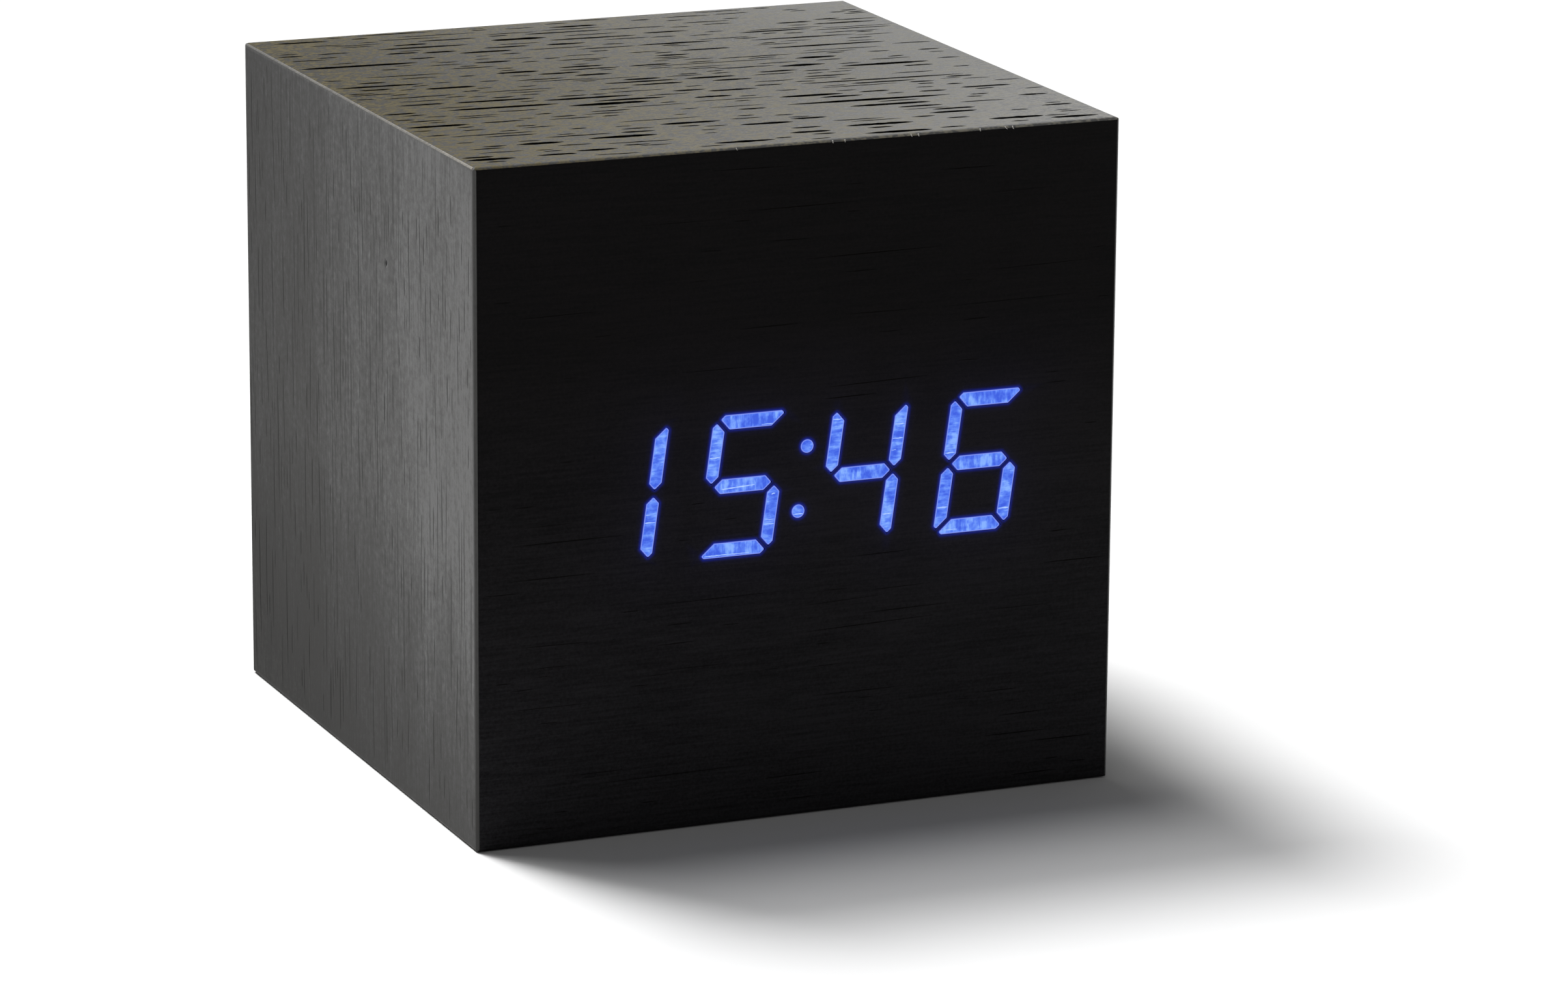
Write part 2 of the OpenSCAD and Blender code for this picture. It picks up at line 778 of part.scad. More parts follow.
module power_socket() {
    color("#111113") translate([jack_x, 0, row_z]) difference() {
        union() {
            block([-jack_side / 2, board_back_y, -jack_side / 2],
                [jack_side / 2, rear_in_y - body_play, jack_side / 2]);
            rod(jack_nose_d, board_back_y, rear_face_y);
        }
        rod(jack_bore_d, rear_face_y - jack_bore_l, rear_face_y + far);
        rod(jack_root_d + 2 * display_play, rear_face_y - jack_bore_l - jack_root_l, rear_face_y);
    }
}

module socket_pin() {
    floor_y = rear_face_y - jack_bore_l;
    color(steel) translate([jack_x, 0, row_z]) {
        rod(jack_root_d, floor_y - jack_root_l, floor_y);
        rod(jack_pin_d, floor_y, rear_face_y - jack_pin_inset);
    }
}

module battery_tray() {
    low_y = tray_front_y + tray_wall;
    color(black_plastic) difference() {
        union() {
            block([-tray_side_x, tray_front_y, tray_low_z], [tray_side_x, rear_in_y, tray_top_z]);
            at_tray_ears() translate([0, rear_in_y - ear_t / 2, 0])
                cube([ear_w, ear_t, ear_h], center = true);
            tray_lips(0);
        }
        difference() {
            block([-bay_l / 2, low_y, bay_low_z], [bay_l / 2, rear_in_y + far, bay_top_z]);
            for (side = [-1, 1]) translate([0, low_y + rib_h / 2, bay_mid_z + side * cell_step / 2])
                cube([bay_l * 0.8, rib_h + 2 * far, rib_t], center = true);
        }
        at_tray_ears() rod(small_screw_d + 2 * screw_play, rear_in_y - ear_t - far, rear_in_y + far);
        // Slots for the solder tabs
        for (side = [-1, 1]) translate([side * tab_x, tray_front_y, cell_z(side)])
            cube([contact_t + 2 * tab_play, 2 * tray_wall + far, tab_w + 2 * tab_play], center = true);
    }
}

// Height of a cell's axis: -1 is the lowest cell, 1 the highest
function cell_z(row) = bay_mid_z + row * cell_step;

module tray_screws() {
    translate([0, rear_in_y - ear_t, 0]) at_tray_ears() face_front()
        screw(small_screw_d, ear_t + tray_screw_bite, small_head_d, small_head_h);
}

module battery_contacts() {
    color(copper) {
        for (side = [-1, 1], row = [-1:1]) translate([side * tab_x, cell_y, cell_z(row)])
            cube([contact_t, contact_side, contact_side], center = true);
        for (side = [-1, 1]) translate([side * tab_x, 0, cell_z(side)])
            block([-contact_t / 2, tab_tip_y, -tab_w / 2], [contact_t / 2, cell_y, tab_w / 2]);
    }
}

// Tube of six or more sides along points, each with a direction square to the run there
function unit(v) = v / norm(v);
function run_at(p, i) = unit(p[min(i + 1, len(p) - 1)] - p[max(i - 1, 0)]);
function square_to(n, run) = unit(n - (n * run) * run);
module tube(points, sides_to, r, sides) {
    last = len(points) - 1;
    rings = [for (i = [0:last])
        let (run = run_at(points, i), a = square_to(sides_to[i], run), b = cross(run, a))
        for (s = [0:sides - 1]) points[i] + r * (cos(360 * s / sides) * a + sin(360 * s / sides) * b)];
    start = len(rings);
    skin = [for (i = [0:last - 1], s = [0:sides - 1])
        let (p = i * sides + s, q = i * sides + (s + 1) % sides)
        each [[p, q, q + sides], [p, q + sides, p + sides]]];
    caps = [for (s = [0:sides - 1])
        each [[start, (s + 1) % sides, s],
            [start + 1, last * sides + s, last * sides + (s + 1) % sides]]];
    polyhedron(concat(rings, [points[0], points[last]]),
        [for (f = concat(skin, caps)) [f[2], f[1], f[0]]]);
}

// Contact spring along X: a straight end, the curls, and a straight end
rings_per_curl = 8;
spring_rings = spring_curls * rings_per_curl;
spring_reach = spring_l - 2 * touch;
function spring_angle(i) = 360 * i / rings_per_curl;
function spring_curl_point(i) =
    let (t = i / spring_rings, r = spring_base_r + (spring_tip_r - spring_base_r) * t,
        x = spring_wire_d + (spring_reach - 2 * spring_wire_d) * t)
    [x, r * cos(spring_angle(i)), r * sin(spring_angle(i))];
spring_curl_points = [for (i = [0:spring_rings]) spring_curl_point(i)];
spring_tip = spring_curl_points[spring_rings];
spring_points = concat([[0, spring_base_r, 0]], spring_curl_points,
    [[spring_reach, spring_tip[1], spring_tip[2]]]);
spring_normals = [for (p = spring_points) [0, p[1], p[2]]];
function least_gap(p, apart) =
    min([for (i = [0:len(p) - 1 - apart]) for (j = [i + apart:len(p) - 1]) norm(p[i] - p[j])]);
echo(least_spring_gap = least_gap(spring_points, rings_per_curl / 2) - spring_wire_d);

// Middle of a cell's place; the middle cell lies the other way round from its neighbours
module at_cell(row) {
    translate([0, cell_y, cell_z(row)]) rotate(row == 0 ? 180 : 0) children();
}

module battery_springs() {
    color(steel) for (row = [-1:1]) at_cell(row) translate([contact_t + touch - bay_l / 2, 0, 0])
        tube(spring_points, spring_normals, spring_wire_d / 2, 6);
}

module cell(row) {
    r = cell_d / 2;
    shoulder = cell_l - nub_l;
    color("#2f5b46") at_cell(row) translate([cell_end - cell_l, 0, 0]) rotate([0, 90, 0]) rotate_extrude()
        polygon([[0, 0], [r - cell_rim, 0], [r, cell_rim], [r, shoulder - cell_rim],
            [r - cell_rim, shoulder], [nub_d / 2, shoulder], [nub_d / 2, cell_l], [0, cell_l]]);
}

module upper_cell() {
    cell(1);
}

module middle_cell() {
    cell(0);
}

module lower_cell() {
    cell(-1);
}

module battery_door() {
    low_y = rear_face_y - door_t;
    color(black_plastic) {
        difference() {
            union() {
                block([-door_half_w, low_y, hinge_z], [door_half_w, rear_face_y, door_top_z]);
                hinge_rod(door_t, 2 * door_half_w);
                hinge_rod(door_pin_d, 2 * (door_half_w + door_gap + door_pin_l));
            }
            for (side = [-1, 1]) translate([side * (latch_w + latch_slot) / 2, hinge_y, door_top_z])
                cube([latch_slot, door_t + 2 * far, 2 * latch_l], center = true);
            grip_lines();
        }
        translate([0, low_y + latch_bead_r, door_top_z + latch_bead_proud - latch_bead_r])
            rotate([0, 90, 0]) cylinder(r = latch_bead_r, h = latch_w * 0.8, center = true);
    }
}

// Rod on the door's hinge axis
module hinge_rod(d, l) {
    translate([0, hinge_y, hinge_z]) rotate([0, 90, 0]) cylinder(d = d, h = l, center = true);
}

// Shallow grooves that a thumb grips on the latch tongue
grip_count = 3;
grip_depth = 0.4;
grip_w = 0.7;
module grip_lines() {
    for (i = [1:grip_count]) translate([0, rear_face_y, door_top_z - i * latch_l / (grip_count + 1.5)])
        cube([latch_w * 0.7, 2 * grip_depth, grip_w], center = true);
}

module door_foam() {
    color("#303032") translate([0, rear_face_y - door_t - foam_t / 2, bay_mid_z])
        cube([foam_w, foam_t, foam_h], center = true);
}

// Battery lead from a solder tab, up in front of the tray and over to a pad on the main board
function lead_points(side) = [
    [side * tab_x, tab_tip_y - touch, cell_z(side)],
    [side * tab_x, tab_tip_y - lead_d, cell_z(side)],
    [side * tab_x, lead_y, cell_z(side) + lead_d],
    [side * tab_x, lead_y, cell_z(side) + 3 * lead_d],
    [side * tab_x, lead_y, tray_top_z - lead_d],
    [side * (tab_x + pad_x) / 2, lead_y + lead_d, (tray_top_z + pad_z) / 2],
    [side * pad_x, board_front_y - 3 * lead_d, pad_z],
    [side * pad_x, board_front_y - lead_d - touch, pad_z],
    [side * pad_x, board_front_y - touch, pad_z]];

module lead(side) {
    points = lead_points(side);
    tube(points, [for (p = points) [side, 1, 1]], lead_d / 2, 8);
}

module red_lead() {
    color("#b3201c") lead(1);
}

module black_lead() {
    color("#161617") lead(-1);
}

front_panel();
front_veneer();
top_panel();
bottom_panel();
left_panel();
right_panel();
corner_blocks();
rear_panel();
rear_panel_screws();
lit_segments();
colon_dots();
light_guides();
display_housing();
display_board();
display_leds();
display_screws();
display_plug();
flat_cable();
main_plug();
main_board();
main_board_screws();
microcontroller();
led_driver();
crystal();
capacitor();
piezo_buzzer();
microphone();
tact_switches();
set_button();
up_button();
down_button();
set_plunger();
up_plunger();
down_plunger();
power_socket();
socket_pin();
battery_tray();
tray_screws();
battery_contacts();
battery_springs();
upper_cell();
middle_cell();
lower_cell();
battery_door();
door_foam();
red_lead();
black_lead();
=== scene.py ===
"""Looks of the cube alarm clock: black grained wood, a lit display and a plastic rear panel."""
import math
import random

import bmesh
import bpy
from mathutils import Matrix, Vector
from mathutils.geometry import delaunay_2d_cdt


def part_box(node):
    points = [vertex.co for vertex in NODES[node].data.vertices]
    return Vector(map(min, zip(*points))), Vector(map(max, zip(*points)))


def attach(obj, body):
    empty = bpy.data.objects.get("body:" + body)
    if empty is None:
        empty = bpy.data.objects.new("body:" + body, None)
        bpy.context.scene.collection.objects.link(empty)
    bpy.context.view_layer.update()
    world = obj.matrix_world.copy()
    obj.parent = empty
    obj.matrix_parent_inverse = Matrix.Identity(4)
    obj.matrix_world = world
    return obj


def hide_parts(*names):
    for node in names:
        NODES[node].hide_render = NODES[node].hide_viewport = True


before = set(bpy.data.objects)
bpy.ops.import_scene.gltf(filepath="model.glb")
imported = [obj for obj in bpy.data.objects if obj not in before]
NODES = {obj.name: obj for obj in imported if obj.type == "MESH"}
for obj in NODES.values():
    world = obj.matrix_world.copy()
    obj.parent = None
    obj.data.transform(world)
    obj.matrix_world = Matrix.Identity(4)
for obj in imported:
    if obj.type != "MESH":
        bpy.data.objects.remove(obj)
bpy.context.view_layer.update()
SCENE = bpy.context.scene
MM = 0.001
X, Y, Z = 0, 1, 2
SAME_PLACE = 1e-6

# The case, in millimetres
HALF = 34.0
FRONT_Y = -HALF
CASE_TOP = 68.0
# How far pores keep from the edges of the sides, of the front, and from the joint behind the front
EDGE_GAP = 0.55
FRONT_GAP = 0.6
JOINT_GAP = 0.65
PORE_EDGE = HALF - EDGE_GAP
PORE_FRONT = JOINT_GAP - HALF
# Radius of the corners of the lit patches
CORNER_R = 0.2


# Camera

def set_camera():
    """Camera solved from the edges of the case, for a picture of 2408 by 1516 pixels."""
    picture_w = 2408
    focal_px = 10141.7
    azimuth = math.radians(-23.176)
    elevation = math.radians(14.71)
    roll = math.radians(0.421)
    place = Vector((-247.61, -608.24, 197.08)) * MM
    back = Vector((math.sin(azimuth) * math.cos(elevation), -math.cos(azimuth) * math.cos(elevation),
                   math.sin(elevation)))
    level = Vector((math.cos(azimuth), math.sin(azimuth), 0))
    upright = back.cross(level)
    right = level * math.cos(roll) + upright * math.sin(roll)
    up = upright * math.cos(roll) - level * math.sin(roll)
    data = bpy.data.cameras.new("camera")
    data.sensor_fit = "HORIZONTAL"
    data.sensor_width = 36
    data.lens = focal_px / picture_w * data.sensor_width
    data.clip_start = 0.01
    camera = bpy.data.objects.new("camera", data)
    camera.matrix_world = Matrix.Translation(place) @ Matrix((right, up, back)).transposed().to_4x4()
    SCENE.collection.objects.link(camera)
    SCENE.camera = camera


# Studio

def add_sun(name, elevation, turn, size, power):
    """Soft light from behind, turned towards the left. Angles in degrees."""
    lamp = bpy.data.lights.new(name, "SUN")
    lamp.energy = power
    lamp.angle = math.radians(size)
    light = bpy.data.objects.new(name, lamp)
    flat = math.cos(math.radians(elevation))
    towards = Vector((flat * math.sin(math.radians(turn)), -flat * math.cos(math.radians(turn)),
                      -math.sin(math.radians(elevation))))
    light.rotation_euler = towards.to_track_quat("-Z", "Y").to_euler()
    SCENE.collection.objects.link(light)


def set_studio():
    """White floor, soft key light from behind on the left, and a white room for reflections."""
    ambient = 0.12
    world = bpy.data.worlds.new("studio")
    world.use_nodes = True
    tree = world.node_tree
    tree.nodes.clear()
    out = tree.nodes.new("ShaderNodeOutputWorld")
    seen = tree.nodes.new("ShaderNodeBackground")
    lit = tree.nodes.new("ShaderNodeBackground")
    mix = tree.nodes.new("ShaderNodeMixShader")
    path = tree.nodes.new("ShaderNodeLightPath")
    either = tree.nodes.new("ShaderNodeMath")
    any_of = tree.nodes.new("ShaderNodeMath")
    either.operation = "MAXIMUM"
    any_of.operation = "MAXIMUM"
    seen.inputs["Color"].default_value = (1, 1, 1, 1)
    seen.inputs["Strength"].default_value = 1
    lit.inputs["Color"].default_value = (1, 1, 1, 1)
    lit.inputs["Strength"].default_value = ambient
    link = tree.links.new
    link(path.outputs["Is Camera Ray"], either.inputs[0])
    link(path.outputs["Is Glossy Ray"], either.inputs[1])
    link(either.outputs[0], any_of.inputs[0])
    link(path.outputs["Is Transmission Ray"], any_of.inputs[1])
    link(any_of.outputs[0], mix.inputs["Fac"])
    link(lit.outputs[0], mix.inputs[1])
    link(seen.outputs[0], mix.inputs[2])
    link(mix.outputs[0], out.inputs["Surface"])
    SCENE.world = world

    add_sun("key", elevation=58, turn=21, size=17, power=2.85)
    add_sun("overhead", elevation=73, turn=28, size=18, power=1.05)

    half_m = 4.0
    level_m = -0.00002
    corners = [(-half_m, -half_m), (half_m, -half_m), (half_m, half_m), (-half_m, half_m)]
    mesh = bpy.data.meshes.new("floor")
    mesh.from_pydata([(*corner, level_m) for corner in corners], [], [(0, 1, 2, 3)])
    floor = bpy.data.objects.new("floor", mesh)
    SCENE.collection.objects.link(floor)
    paper = Paint("floor_paper")
    paper.set(Roughness=0.9)
    paper.specular(0.0)
    paper.colour([(0.3, (0.90, 0.90, 0.90)), (0.7, (0.93, 0.93, 0.93))], paper.noise(40))
    mesh.materials.append(paper.material)


# Materials

class Paint:
    """A Principled material whose colour, roughness and bump come from procedural nodes."""

    def __init__(self, name):
        self.material = bpy.data.materials.new(name)
        self.material.use_nodes = True
        self.tree = self.material.node_tree
        self.shader = self.tree.nodes["Principled BSDF"]
        self.place = self.tree.nodes.new("ShaderNodeTexCoord").outputs["Object"]

    def set(self, **values):
        for key, value in values.items():
            self.shader.inputs[key].default_value = value

    def node(self, kind, **settings):
        made = self.tree.nodes.new(kind)
        for key, value in settings.items():
            setattr(made, key, value)
        return made

    def link(self, out, into):
        self.tree.links.new(out, into)

    def feed(self, socket, value):
        """Lets a value drive a socket of the shader."""
        self.link(value, self.shader.inputs[socket])

    def specular(self, level):
        self.set(**{"Specular IOR Level": level})

    def glow(self, light):
        self.feed("Emission Color", light)
        self.set(**{"Emission Strength": 1.0})

    def noise(self, per_mm, stretch=(1, 1, 1), detail=4, rough=0.55, warp=0.0):
        """Noise with about that many features in a millimetre, drawn out along an axis by stretch."""
        moved = self.node("ShaderNodeMapping")
        moved.inputs["Scale"].default_value = stretch
        self.link(self.place, moved.inputs["Vector"])
        made = self.node("ShaderNodeTexNoise")
        made.inputs["Scale"].default_value = per_mm / MM
        made.inputs["Detail"].default_value = detail
        made.inputs["Roughness"].default_value = rough
        made.inputs["Distortion"].default_value = warp
        self.link(moved.outputs["Vector"], made.inputs["Vector"])
        return made.outputs["Fac"]

    def cells(self, per_mm):
        """Distance from the middles of scattered cells."""
        made = self.node("ShaderNodeTexVoronoi")
        made.inputs["Scale"].default_value = per_mm / MM
        self.link(self.place, made.inputs["Vector"])
        return made.outputs["Distance"]

    def ramp(self, stops, factor):
        made = self.node("ShaderNodeValToRGB")
        band = made.color_ramp
        while len(band.elements) < len(stops):
            band.elements.new(0.5)
        for element, (at, shade) in zip(band.elements, stops):
            element.position = at
            element.color = (*shade, 1)
        self.link(factor, made.inputs["Fac"])
        return made.outputs["Color"]

    def math(self, operation, a, b):
        made = self.node("ShaderNodeMath", operation=operation)
        for socket, value in zip(made.inputs, (a, b)):
            if isinstance(value, (int, float)):
                socket.default_value = value
            else:
                self.link(value, socket)
        return made.outputs[0]

    def total(self, *terms):
        """Sum of values, each times its weight."""
        out = 0.0
        for value, weight in terms:
            out = self.math("ADD", self.math("MULTIPLY", value, weight), out)
        return out

    def gradient(self, axis, start_mm, end_mm):
        """Runs from 0 to 1 between two places on an axis."""
        split = self.node("ShaderNodeSeparateXYZ")
        self.link(self.place, split.inputs[0])
        made = self.node("ShaderNodeMapRange")
        made.inputs["From Min"].default_value = start_mm * MM
        made.inputs["From Max"].default_value = end_mm * MM
        self.link(split.outputs[axis], made.inputs["Value"])
        return made.outputs["Result"]

    def mix(self, blend, factor, a, b):
        made = self.node("ShaderNodeMix", data_type="RGBA", blend_type=blend)
        sockets = [s for s in made.inputs if s.type == "RGBA"]
        if isinstance(factor, (int, float)):
            made.inputs["Factor"].default_value = factor
        else:
            self.link(factor, made.inputs["Factor"])
        for socket, value in zip(sockets, (a, b)):
            if isinstance(value, tuple):
                socket.default_value = (*value, 1)
            else:
                self.link(value, socket)
        return [s for s in made.outputs if s.type == "RGBA"][0]

    def attribute(self, name):
        return self.node("ShaderNodeAttribute", attribute_name=name).outputs["Fac"]

    def colour(self, stops, factor):
        self.feed("Base Color", self.ramp(stops, factor))

    def roughness(self, low, high, factor):
        made = self.node("ShaderNodeMapRange")
        made.inputs["To Min"].default_value = low
        made.inputs["To Max"].default_value = high
        self.link(factor, made.inputs["Value"])
        self.feed("Roughness", made.outputs["Result"])

    def bump(self, height, depth_mm):
        made = self.node("ShaderNodeBump")
        made.inputs["Distance"].default_value = depth_mm * MM
        made.inputs["Strength"].default_value = 1.0
        self.link(height, made.inputs["Height"])
        self.feed("Normal", made.outputs["Normal"])


def drawn_out(along, share):
    """Stretch of a noise that runs along an axis."""
    return [share if axis == along else 1 for axis in (X, Y, Z)]


SMOOTHEST_WOOD = 0.3


def wood(name, along, specular, near, far, drift, sheen, speck=(3.2, (1, 1, 1), 3), dull=None,
         bump_mm=0.03, shares=(0.4, 0.25, 0.35), contrast=0.1):
    """Stained wood with fibres along an axis.

    drift: axis, start and end of the change from the near shades to the far ones, each a dark and a light one
    sheen: mean roughness, how far the grain spreads it, and its change along drift
    speck: how many fine specks in a millimetre, their stretch and detail
    dull: axis, start, end and amount of another change of the roughness
    shares: weights of the fibres, bands and specks in the grain
    """
    paint = Paint(name)
    fibres = paint.noise(3.2, drawn_out(along, 0.05), detail=6, rough=0.7)
    bands = paint.noise(0.09, drawn_out(along, 0.25), detail=3, warp=0.6)
    grit = paint.noise(*speck, rough=0.75)
    grain = paint.total((fibres, shares[0]), (bands, shares[1]), (grit, shares[2]))
    share = paint.gradient(*drift)
    first = paint.ramp([(0.5 - contrast, near[0]), (0.5 + contrast, near[1])], grain)
    last = paint.ramp([(0.5 - contrast, far[0]), (0.5 + contrast, far[1])], grain)
    paint.feed("Base Color", paint.mix("MIX", share, first, last))
    middle, spread, change = sheen
    rough = paint.total((grain, spread), (share, change))
    rough = paint.math("ADD", rough, middle - 0.5 * spread - 0.5 * change)
    if dull:
        *place, amount = dull
        rough = paint.math("ADD", rough, paint.total((paint.gradient(*place), amount)))
    paint.feed("Roughness", paint.math("MAXIMUM", rough, SMOOTHEST_WOOD))
    paint.set(IOR=1.5)
    paint.specular(specular)
    paint.bump(paint.total((fibres, 0.5), (grit, 0.5)), bump_mm)
    return paint


def pore_paint(name, near, far):
    """Dull dark inside of the pores, in one shade at the front and another at the back."""
    paint = Paint(name)
    cloud = paint.ramp([(0.3, (0.6, 0.6, 0.6)), (0.7, (1.4, 1.4, 1.4))], paint.noise(4))
    shade = paint.ramp([(0.0, near), (1.0, far)], paint.gradient(Y, -HALF, HALF))
    paint.feed("Base Color", paint.mix("MULTIPLY", 1.0, shade, cloud))
    paint.set(Roughness=0.9)
    paint.specular(0.0)
    return paint


def plastic(name, dark, light, rough, grain_mm=0.25, depth_mm=0.012):
    """Moulded plastic with a spark-eroded grain."""
    paint = Paint(name)
    grain = paint.noise(1 / grain_mm, detail=3)
    cloud = paint.noise(0.15, detail=2)
    paint.colour([(0.35, dark), (0.65, light)], cloud)
    paint.roughness(rough - 0.06, rough + 0.06, grain)
    paint.set(IOR=1.5)
    paint.bump(grain, depth_mm)
    return paint


def metal(name, dark, light, rough, along=None):
    """Bare metal with fine drawn lines."""
    paint = Paint(name)
    lines = paint.noise(6, drawn_out(along, 0.08), detail=5)
    cloud = paint.noise(0.5, detail=2)
    paint.colour([(0.3, dark), (0.7, light)], cloud)
    paint.roughness(rough - 0.08, rough + 0.1, lines)
    paint.set(Metallic=1.0)
    paint.bump(lines, 0.006)
    return paint


# Wood with open pores

# How far the grain of the top leans towards the front on its way to the right
GRAIN_SLOPE = 0.055
# The longest pores of the top, placed from the back left corner, in twentieths of a millimetre:
# left end, right end, distance to the front, width
TWENTIETHS = 20
TOP_PORES = [
    (50, 165, 50, 11), (650, 755, 78, 12), (340, 465, 125, 10), (495, 540, 122, 16), (575, 745, 132, 9),
    (275, 350, 150, 11), (485, 605, 170, 17), (230, 425, 185, 12), (10, 65, 187, 11), (600, 790, 212, 11),
    (810, 910, 205, 10), (1205, 1265, 190, 15), (1115, 1195, 202, 11), (230, 300, 233, 15),
    (305, 380, 246, 16), (440, 540, 243, 11), (575, 660, 255, 13), (1185, 1325, 240, 10),
    (375, 490, 277, 12), (255, 315, 296, 11), (1000, 1160, 275, 10), (1085, 1130, 312, 13),
    (395, 425, 318, 16), (450, 495, 315, 14), (750, 915, 328, 11), (15, 260, 330, 16), (285, 305, 342, 14),
    (380, 415, 350, 15), (630, 675, 352, 17), (990, 1225, 362, 9), (365, 445, 386, 12),
    (325, 365, 410, 13), (810, 920, 412, 10), (740, 815, 447, 10), (990, 1250, 457, 11),
    (15, 55, 462, 13), (70, 130, 508, 16), (370, 460, 506, 17), (510, 605, 495, 11), (500, 630, 524, 9),
    (650, 740, 529, 10), (10, 195, 545, 12), (445, 535, 546, 12), (660, 985, 553, 9), (1000, 1090, 574, 16),
    (50, 120, 578, 12), (510, 590, 583, 13), (1275, 1325, 575, 12), (180, 285, 609, 16),
    (935, 1035, 642, 16), (585, 665, 661, 13), (710, 755, 645, 11), (10, 50, 663, 11),
    (535, 690, 686, 10), (705, 815, 694, 12), (870, 955, 683, 11), (1055, 1245, 688, 15),
    (580, 690, 719, 12), (750, 835, 732, 11), (1175, 1240, 726, 15), (270, 320, 738, 15),
    (440, 475, 730, 13), (70, 165, 752, 11), (185, 350, 764, 12), (940, 1040, 762, 9), (465, 505, 776, 12),
    (360, 545, 804, 13), (635, 705, 803, 13), (810, 870, 810, 10), (900, 945, 803, 11), (10, 80, 824, 11),
    (145, 375, 832, 14), (700, 805, 830, 12), (905, 1255, 834, 10), (450, 600, 846, 12),
    (1000, 1140, 862, 10), (1210, 1270, 861, 12), (385, 555, 873, 18), (650, 730, 880, 13),
    (1115, 1170, 887, 11), (10, 55, 885, 13), (810, 945, 940, 14), (980, 1045, 945, 11),
    (1105, 1145, 942, 14), (10, 140, 963, 15), (885, 975, 970, 13), (1025, 1065, 977, 14),
    (1095, 1155, 983, 12), (1190, 1300, 976, 11), (10, 50, 997, 12), (795, 1140, 1021, 15),
    (215, 260, 1019, 11), (545, 575, 1023, 14), (685, 745, 1022, 11), (905, 1075, 1077, 16),
    (485, 610, 1106, 14), (1265, 1330, 1088, 12), (990, 1085, 1115, 12), (730, 770, 1101, 12),
    (510, 558, 1135, 13), (385, 455, 1150, 11), (745, 820, 1147, 12), (630, 740, 1166, 14),
    (1045, 1135, 1160, 12), (85, 135, 1182, 17), (155, 250, 1187, 16), (305, 445, 1184, 17),
    (1025, 1125, 1190, 13), (1265, 1330, 1199, 12), (535, 562, 1212, 12), (975, 1025, 1213, 13),
    (1185, 1225, 1220, 14), (710, 775, 1230, 12), (820, 960, 1250, 16), (1035, 1085, 1247, 12),
    (10, 75, 1269, 12), (690, 775, 1272, 18), (345, 400, 1265, 12), (240, 325, 1283, 13),
    (850, 905, 1280, 12), (10, 110, 1294, 17), (155, 235, 1296, 13), (1110, 1225, 1287, 16),
    (725, 775, 1298, 11), (515, 640, 1312, 14), (825, 965, 1330, 19),
    (985, 1040, 1327, 13), (1230, 1330, 1318, 14),
]

# Rings of a pore from the flat of the face inwards: share of its width, share of its depth
PORE_RINGS = [(2.3, 0.0), (1.0, 0.2), (0.8, 0.55), (0.4, 1.0)]
TOP_PORE_RINGS = [(1.0, 0.0), (0.92, 0.35), (0.75, 0.7), (0.4, 1.0)]


class Pores:
    """Open pores of one face, as nested rings that sink from its surface. Lengths in millimetres."""

    TRIES = 12
    BOX_LENGTH = 2.5
    STEP = 0.9
    SPARE = 0.02
    NARROWEST = 0.14

    def __init__(self, seed, low, high, keep_clear=(), shape=PORE_RINGS, blunt=0.65):
        self.random = random.Random(seed)
        self.low = low
        self.high = high
        self.boxes = list(keep_clear)
        self.shape = shape
        self.blunt = blunt
        self.rings = []

    def free(self, box):
        """Tells whether a box lies on the face and meets no other."""
        left, low, right, high = box
        if left <= self.low[0] or low <= self.low[1] or right >= self.high[0] or high >= self.high[1]:
            return False
        return not any(left < b[2] and b[0] < right and low < b[3] and b[1] < high for b in self.boxes)

    def taken(self, u, v, length, width, slope):
        """Boxes that a pore takes up, one for each few millimetres of its length."""
        reach = 0.51 * width * self.shape[0][0] + self.SPARE
        spare = width * (self.shape[0][0] - 1) + self.SPARE
        count = max(1, int(length / self.BOX_LENGTH))
        step = (length + 2 * spare) / count
        for i in range(count):
            start = u - spare + i * step
            heights = [v - slope * (start - u), v - slope * (start + step - u)]
            yield (start, min(heights) - reach, start + step, max(heights) + reach)

    def add(self, u, v, length, width, depth, slope):
        """Adds a pore that starts at (u, v), unless it would meet another or leave the face."""
        boxes = list(self.taken(u, v, length, width, slope))
        if not all(self.free(box) for box in boxes):
            return False
        self.boxes += boxes
        count = max(5, min(14, int(length / self.STEP) + 4))
        swell = [self.random.uniform(0.66, 1.0) for _ in range(count)]
        for scale, sink in self.shape:
            pull = (1 - scale) * min(0.3 * length, width)
            near = []
            far = []
            for i, share in enumerate(swell):
                t = i / (count - 1)
                along = u + pull + t * (length - 2 * pull)
                middle = v - slope * (along - u)
                taper = max(self.NARROWEST, math.sin(math.pi * t) ** self.blunt)
                half = 0.5 * width * scale * share * taper
                near.append((along, middle - half))
                far.append((along, middle + half))
            self.rings.append((near + far[::-1], depth * sink))
        return True

    def scatter(self, count, length, width, depth, slope):
        """Adds pores at random places, with lengths mostly near the low end of their range."""
        pick = self.random
        for _ in range(count):
            for _ in range(self.TRIES):
                size = length[0] + (length[1] - length[0]) * pick.random() ** 2.2
                across = pick.uniform(*width)
                at = (pick.uniform(self.low[0], self.high[0]), pick.uniform(self.low[1], self.high[1]))
                if self.add(*at, size, across, pick.uniform(*depth), pick.gauss(*slope)):
                    break


def chain(edges):
    """Closed loops of vertices along edges, each in order."""
    links = {}
    for edge in edges:
        a, b = edge.verts
        links.setdefault(a, []).append(b)
        links.setdefault(b, []).append(a)
    loops = []
    done = set()
    for start in links:
        if start in done:
            continue
        loop = [start]
        done.add(start)
        while True:
            onward = [v for v in links[loop[-1]] if v not in done]
            if not onward:
                break
            loop.append(onward[0])
            done.add(onward[0])
        loops.append(loop)
    return loops


